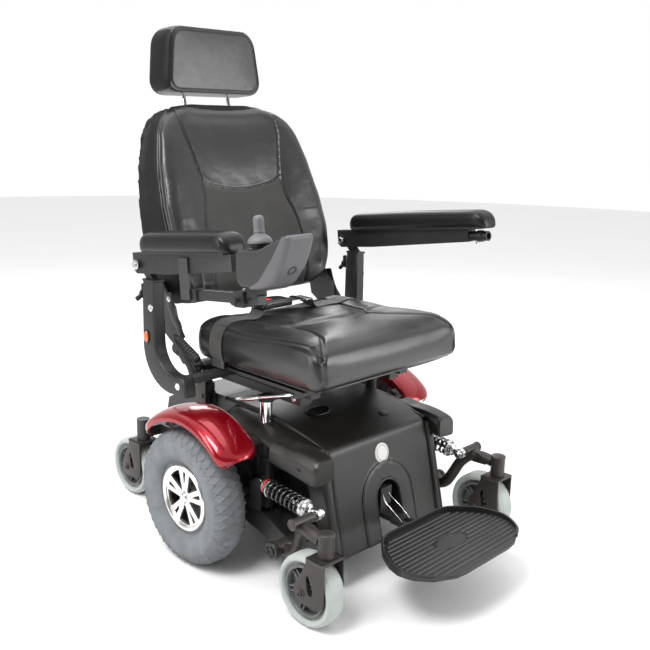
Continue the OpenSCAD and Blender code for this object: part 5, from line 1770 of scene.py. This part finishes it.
    # bright strip along the bracket, its clamps and their screws
    g = rbox((-7, -398, -51.6), (7, -200, -50.2), 0.6)
    piece("bracket_strip", g.mapped(arm), bright, "controller", angle=35)
    clamp = Geo()
    clamp.merge(rbox((-19, -366, -79), (19, -336, -46), 3))
    clamp.merge(rbox((-15, -206, -76), (15, -186, -47), 2.5))
    clamp.merge(rbox((-15, -402, -58), (15, -372, -36), 2.5))
    piece("bracket_clamps", clamp.mapped(arm), black_rubber, "controller", angle=35)
    for i, (x, y, z, ax) in enumerate(((-19, -351, -64, (-1, 0, 0)), (19, -351, -60, (1, 0, 0)),
                                       (0, -351, -46, (0, 0, 1)), (0, -388, -58, (0, 0, -1)))):
        p0, p1 = arm(np.array([[x, y, z], [x + ax[0], y + ax[1], z + ax[2]]], float))
        g = lathe([(3.5, 0), (3.5, 6), (8, 6.6), (8.8, 8), (8.8, 13), (8, 14.6), (0.2, 15)] if i == 0 else
                  [(4.6, -0.5), (4.6, 3.0), (3.9, 3.8), (0.2, 3.8)], p0, p1 - p0, 24)
        piece("bracket_screw_%d" % (i + 1), g, black_rubber if i == 0 else bright, "controller",
              angle=40)


controller()
repaint("controller_bracket", powder, 1.0)
repaint("joystick_gimbal", rim_dark, 0.3)
repaint("power_button", bright, 0.5)

# ---------------------------------------------------------------- seat belt

def belt():
    """Webbing laid over the cushion on both sides of the buckle."""
    cushion = surface(bpy.data.objects["seat_cushion_cover"])
    half_w, y0 = 22.0, 8.0

    def strap(s, x_end, name):
        pts = [(s * 229, 449), (s * 236, 451)]
        for z in np.linspace(462, 540, 9):
            h = drop_on(cushion, [(s * 330, y0, z)], (-s, 0, 0))[0]
            if h is not None:
                pts.append((h[0][0] + s * 2.2, z))
        x = 226.0
        while x > abs(x_end):
            h = drop_on(cushion, [(s * x, y0, 660)], (0, 0, -1))[0]
            if h is not None:
                pts.append((s * x, h[0][2] + 2.0))
            x -= 12
        pts.append((x_end, 571.5 if s == RIGHT else 579.0))
        path = smooth_path([(x, 0, z) for x, z in pts], 4)[:, [0, 2]]
        k = np.ones(7) / 7
        for i in range(2):
            path[3:-3, i] = np.convolve(path[:, i], k, "valid")
        t = np.gradient(path, axis=0)
        t /= np.linalg.norm(t, axis=1)[:, None]
        nrm = np.column_stack([-t[:, 1], t[:, 0]]) * (1 if s == LEFT else -1)
        if nrm[len(nrm) // 2][1] < 0:
            nrm = -nrm
        rings = []
        for (x, z), (nx, nz) in zip(path, nrm):
            top = [(v, 0.8 + 0.28 * math.cos(v * math.pi / 2.75))
                   for v in np.linspace(-half_w + 0.4, half_w - 0.4, 49)]
            sec = [(-half_w, -0.5)] + [(-half_w, 0.5)] + top + [(half_w, 0.5), (half_w, -0.5)] + [(0, -0.9)]
            rings.append([(x + nx * h, y0 + v, z + nz * h) for v, h in sec])
        piece(name, grid(rings), webbing, "seat", ["seat_belt"] if s == RIGHT else [], angle=60)
        return path

    strap(RIGHT, -112, "belt_webbing_right")
    strap(LEFT, 46, "belt_webbing_left")
    # buckle: housing with a rounded top, the tongue and its slotted plate
    z0 = SEAT_TOP
    house = []
    for x, w, h in ((-115, 22, 12), (-113.5, 25.5, 17), (-108, 27, 20.5), (-90, 27, 22), (-60, 26.5, 22),
                    (-36, 26, 20.5), (-27, 25.5, 19), (-23.2, 24, 17), (-22.2, 20, 14)):
        ring = []
        for a in np.linspace(0, 2 * math.pi, 41)[:-1]:
            c, q = math.cos(a), math.sin(a)
            ring.append((x, y0 + w * math.copysign(abs(c) ** 0.45, c), z0 + 0.8 + h / 2
                         + h / 2 * math.copysign(abs(q) ** 0.5, q)))
        house.append(ring)
    piece("belt_buckle_housing", grid(house), buckle_mat, "seat", ["belt_buckle"], angle=50)
    frame_g = plate([round_loop([(-108.6, -19.6), (-77, -19.6), (-77, 19.6), (-108.6, 19.6)], 4),
                     round_loop([(-105.9, -17.3), (-79.6, -17.3), (-79.6, 17.3), (-105.9, 17.3)], 2.5)],
                    2.4, 0.6, (0, y0, z0 + 22.6), ex=(1, 0, 0), ey=(0, 1, 0))
    piece("belt_buckle_frame", frame_g, rim_dark, "seat", angle=40)
    tongue = plate([round_loop([(-22, -19), (8, -19), (14, -24), (43, -24), (43, 24), (14, 24), (8, 19),
                                (-22, 19)], 4), round_loop([(27, -19), (36, -19), (36, 19), (27, 19)], 2)],
                   3, 0.6, (0, y0, z0 + 9.6), ex=(1, 0, 0), ey=(0, 1, 0))
    piece("belt_tongue", tongue, bright, "seat", angle=35)
    grip = rbox((10, y0 - 24.6, z0 + 6.6), (24, y0 + 24.6, z0 + 13.6), 2.6)
    piece("belt_tongue_grip", grip, buckle_mat, "seat", angle=40)
    btn = []
    for k, h in ((1.0, 0), (1.0, 4.6), (0.97, 6.2), (0.90, 7.1), (0.70, 7.3), (0.02, 7.0)):
        btn.append([(-92.75 + x * k, y0 + y * k, z0 + 16.7 + h) for x, y in soft_rect(25.2, 33.2, 4, 5)])
    piece("belt_release_button", grid(btn), button_red, "belt_button", ["belt_button"], angle=50)


belt()

# ---------------------------------------------------------------- recline lever, slide lever, seat base

def levers():
    grip = Geo()
    a, b = np.array([-282, 100, 508.0]), np.array([-282, 18, 472.0])
    d = (b - a) / np.linalg.norm(b - a)
    prof = [(6, 0), (9.4, 2), (10.4, 6)]
    for i in range(8):
        t = 10 + i * 9.0
        prof += [(10.6, t), (11.0, t + 1.6), (11.0, t + 4.8), (10.6, t + 6.2), (9.2, t + 7.2)]
    prof += [(9.6, 84), (8.6, 87.5), (6, 89.4), (0.2, 90)]
    grip.merge(lathe(prof, a, d, 32))
    piece("recline_grip", grip, black_rubber, "recline_lever", ["recline_lever"], angle=50)
    blade = plate([round_loop([(22, 421), (46, 423), (60, 446), (112, 500), (112, 516), (98, 518),
                               (40, 462), (23, 446)], 8)], 4, 1.2, (-282, 0, 0))
    blade.merge(bolt((-284.4, 34, 432), (-1, 0, 0), 6.2, 3.6))
    blade.merge(lathe([(5, -8), (5, 8)], (-277, 34, 432), (1, 0, 0), 24))
    piece("recline_blade", blade, powder, "recline_lever", angle=35)
    for s in (RIGHT, LEFT):
        # pressed strap from the back's hinge bracket, wavy in side view
        path = smooth_path([(0, 152, 606), (0, 150, 598), (0, 140, 572), (0, 126, 548), (0, 112, 534),
                            (0, 106, 520), (0, 92, 506)], 6)
        w = np.interp(np.linspace(0, 1, len(path)), [0, 0.1, 0.5, 0.8, 1], [11, 14, 13, 12, 9])
        rings = []
        fr = frames(path, (1, 0, 0))
        for (p, (t, sd, u), h) in zip(path, fr, w):
            p = np.array([s * 267.5, p[1], p[2]])
            side = np.cross(t, [1.0, 0, 0])
            side /= np.linalg.norm(side)
            sec = [(-h, 0), (-h * 0.7, 1.4), (0, 2.0), (h * 0.7, 1.4), (h, 0), (h * 0.9, -1.6), (0, -1.6),
                   (-h * 0.9, -1.6)]
            rings.append([p + side * q + np.array([s * 1.0, 0, 0]) * v for q, v in sec])
        g = grid(rings)
        piece("back_strap_" + NAME[s], g, bracket, "back", angle=45)
        piece("back_strap_rivet_" + NAME[s], bolt((s * 269, 146, 592), (s, 0, 0), 4.6, 2.6), bright, "back",
              angle=35)
    # slide lever: chrome rod and a teardrop paddle
    rod = smooth_path([(-176, -235, 441), (-222, -235, 441), (-231, -230, 440), (-236, -200, 431),
                       (-238, -150, 416.5), (-239, -128, 410)], 6)
    piece("slide_lever_rod", tube(rod, 3.6, 14), chrome, "slide_lever", ["slide_lever"], angle=180)
    rings = []
    for t in np.linspace(0, 1, 24):
        w = 3.8 + 11.5 * math.sin(math.pi * min(1.0, t ** 0.8)) ** 0.75 if 0 < t < 1 else 0.4
        h = 1.4 + 5.2 * math.sin(math.pi * t) ** 0.5 if 0 < t < 1 else 0.3
        c = np.array([-239, -150 + 84 * t, 416.5 - 24 * t])
        rings.append([c + np.array([w * math.cos(q), h * 0.29 * math.sin(q), h * 0.96 * math.sin(q)])
                      for q in np.linspace(0, 2 * math.pi, 29)[:-1]])
    piece("slide_lever_paddle", grid(rings), alloy, "slide_lever", angle=180)


def seat_base():
    for s in (RIGHT, LEFT):
        n = NAME[s]
        post = lathe([(14.4, 318), (14.4, 391)], (s * 180, -100, 0), (0, 0, 1), 40, caps=False)
        piece("seat_post_front_" + n, post, chrome if s == RIGHT else powder, "chassis", angle=60)
        collar = lathe([(14.6, 300), (20, 300.6), (21, 303), (21, 322), (20, 325), (14.6, 326)],
                       (s * 180, -100, 0), (0, 0, 1), 44)
        collar.merge(lathe([(14.6, 384), (18.4, 384.6), (19, 387), (19, 391)], (s * 180, -100, 0),
                           (0, 0, 1), 44))
        collar.merge(lathe([(14.6, 352), (18.6, 352.6), (19.4, 355), (19.4, 372), (18.6, 375), (14.6, 376)],
                           (s * 180, 120, 0), (0, 0, 1), 44))
        piece("seat_post_collars_" + n, collar, powder, "chassis", angle=45)
        # pull ring of the height pin
        pin = lathe([(3, 18), (3, 27), (4.6, 27.6), (4.6, 30.4), (0.2, 31)], (s * 180, -100, 313),
                    (s * 0.86, -0.5, 0), 20)
        c = np.array([s * 180 + s * 0.86 * 31, -100 - 0.5 * 31, 306.5])
        ring = [c + 7.5 * np.array([0.5 * s * math.cos(q), 0.86 * math.cos(q), math.sin(q)])
                for q in np.linspace(0, 2 * math.pi, 33)]
        pin.merge(tube(ring, 1.1, 8, up=(0.86 * s, -0.5, 0)))
        piece("seat_post_ring_pin_" + n, pin, bright, "chassis", angle=50)
        # angle brackets between the rear posts and the rails
        br = plate([round_loop([(100, 330), (140, 330), (140, 392), (100, 392)], 6)], 4, 1.0, (s * 198, 0, 0))
        br.merge(bolt((s * 200.4, 112, 345), (s, 0, 0), 5, 3))
        br.merge(bolt((s * 200.4, 128, 380), (s, 0, 0), 5, 3))
        piece("seat_post_bracket_" + n, br, bracket, "chassis", angle=35)
        for y in (-178, 138):
            piece("slide_rail_bolt_%s_%d" % (n, abs(y)), bolt((s * 166.5, y, 403), (s, 0, 0), 4.6, 3),
                  bright, "chassis", angle=35)
    repaint("seat_base_frame", powder, 1.2)
    repaint("seat_pan", powder, 0.8)


levers()
seat_base()

# ---------------------------------------------------------------- footrest stem, drive base, back frame

def stem_springs():
    """Two bright wire springs beside the footrest's hinge."""
    for s in (RIGHT, LEFT):
        path = smooth_path([(s * 9, -314, 178), (s * 11, -320, 168), (s * 14, -330, 158),
                            (s * 15, -346, 150), (s * 15, -360, 141), (s * 14.5, -371, 134),
                            (s * 14, -379, 128)], 6)
        piece("footrest_wire_" + NAME[s], tube(path, 0.85, 8), alloy, "footrest_stem", angle=180)
    g = rbox((-14, -308, 185.5), (14, -286, 189.5), 1.6)
    piece("footrest_stem_cap", g, black_rubber, "footrest_stem", angle=40)
    g = Geo()
    for z in (132, 146, 160):
        for x in (-1, 1):
            g.merge(lathe([(2.6, 0), (2.6, 0.5), (1.4, 0.6), (1.2, -0.6)], (x * 6, -313.1, z), (0, -1, 0),
                          16))
    piece("footrest_stem_holes", g, rim_dark, "footrest_stem", angle=50)


stem_springs()
repaint("footrest_stem", powder, 1.0)
repaint("chassis_frame", powder, 0.8)
repaint("rear_cover", shell_mat, 3.0)
repaint("batteries", battery_mat, 2.0)
repaint("control_module", case_dark, 1.5)
repaint("drive_motors", motor_mat, 1.5)
repaint("back_frame", powder, 2.0)
repaint("headrest_posts", chrome, 0.0)


def back_details():
    """Ribs and screws on the rear shell of the back, and the headrest's clamp."""
    ribs = Geo()
    for i in range(5):
        z = 190 + i * 60
        ribs.merge(rbox((-150, 86.2, z), (150, 89.4, z + 8), 1.4))
    for x in (-185, 185):
        for z in (130, 300, 480):
            ribs.merge(bolt((x, 86.4, z), (0, 1, 0), 5.5, 2.4))
    piece("back_shell_ribs", ribs.mapped(back_out), powder, "back", angle=35)
    clamp = Geo()
    clamp.merge(rbox((-92, 88, 452), (92, 93, 500), 2.0))
    for s in (RIGHT, LEFT):
        clamp.merge(lathe([(5, 0), (5, 9), (10, 9.6), (11.4, 12), (11.4, 19), (10, 21.4), (0.2, 22)],
                          (s * 71, 108, 476), (0, 1, 0), 28))
        clamp.merge(lathe([(6, 520), (12, 520.6), (12.6, 523), (12, 526), (6, 526.6)], (s * 71, 99, 0),
                          (0, 0, 1), 32))
    piece("headrest_clamp", clamp.mapped(back_out), powder, "back", angle=40)


def rear_details():
    """Rear cover: a raised panel, vents, screws, and a cable gland."""
    a, b = np.array([180.0, 350.0]), np.array([300.0, 290.0])
    d = (b - a) / np.linalg.norm(b - a)
    up = np.array([-d[1], d[0]])
    mid = (a + b) / 2 + up * 0.2
    ey = (0, d[0], d[1])
    panel = plate([round_loop([(-110, -46), (110, -46), (110, 46), (-110, 46)], 16)], 4, 1.6,
                  (0, mid[0], mid[1]), ex=(1, 0, 0), ey=ey)
    piece("rear_panel", panel, shell_mat, "chassis", angle=40)
    vents = Geo()
    for i in range(7):
        c = mid + d * (-30 + i * 10) + up * 2.2
        vents.merge(plate([round_loop([(-60, -2.2), (60, -2.2), (60, 2.2), (-60, 2.2)], 2.1)], 1.6, 0.5,
                          (0, c[0], c[1]), ex=(1, 0, 0), ey=ey))
    piece("rear_vents", vents, rim_dark, "chassis", angle=40)
    for x in (-140, 140):
        for t in (-44, 44):
            c = mid + d * t
            piece("rear_cover_screw_%d_%d" % (x + 200, t + 60), bolt((x, c[0], c[1]), (0, up[0], up[1]),
                                                                     4.4, 2.4), bright, "chassis",
                  angle=35)
    gland = lathe([(9.4, 318), (11.6, 319), (12, 322), (10.6, 328), (7.6, 333), (4.2, 337), (3.8, 337.4)],
                  (-100, 250, 0), (0, 0, 1), 32, caps=False)
    piece("cable_gland", gland, black_rubber, "chassis", angle=60)


back_details()
rear_details()

# ---------------------------------------------------------------- joystick cable

ROUTE = [(-300, 141, 600), (-301, 147, 570), (-302, 152, 540), (-302, 156, 510), (-300, 159, 480),
         (-296, 162, 450), (-288, 168, 422), (-274, 178, 398), (-252, 192, 378), (-222, 208, 366),
         (-188, 224, 360), (-156, 238, 356), (-128, 246, 350), (-110, 250, 340), (-100, 250, 326)]


def cable():
    path = smooth_path(ROUTE, 4)
    ob = piece("joystick_cable_sheath", tube(path, 3.5, 12), cable_mat, None, ["joystick_cable"],
               angle=180)
    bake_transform(ob)
    clip = rbox((-309, 133, 592), (-294, 148, 606), 2.0)
    piece("cable_clip", clip, black_rubber, "seat", angle=40)


cable()
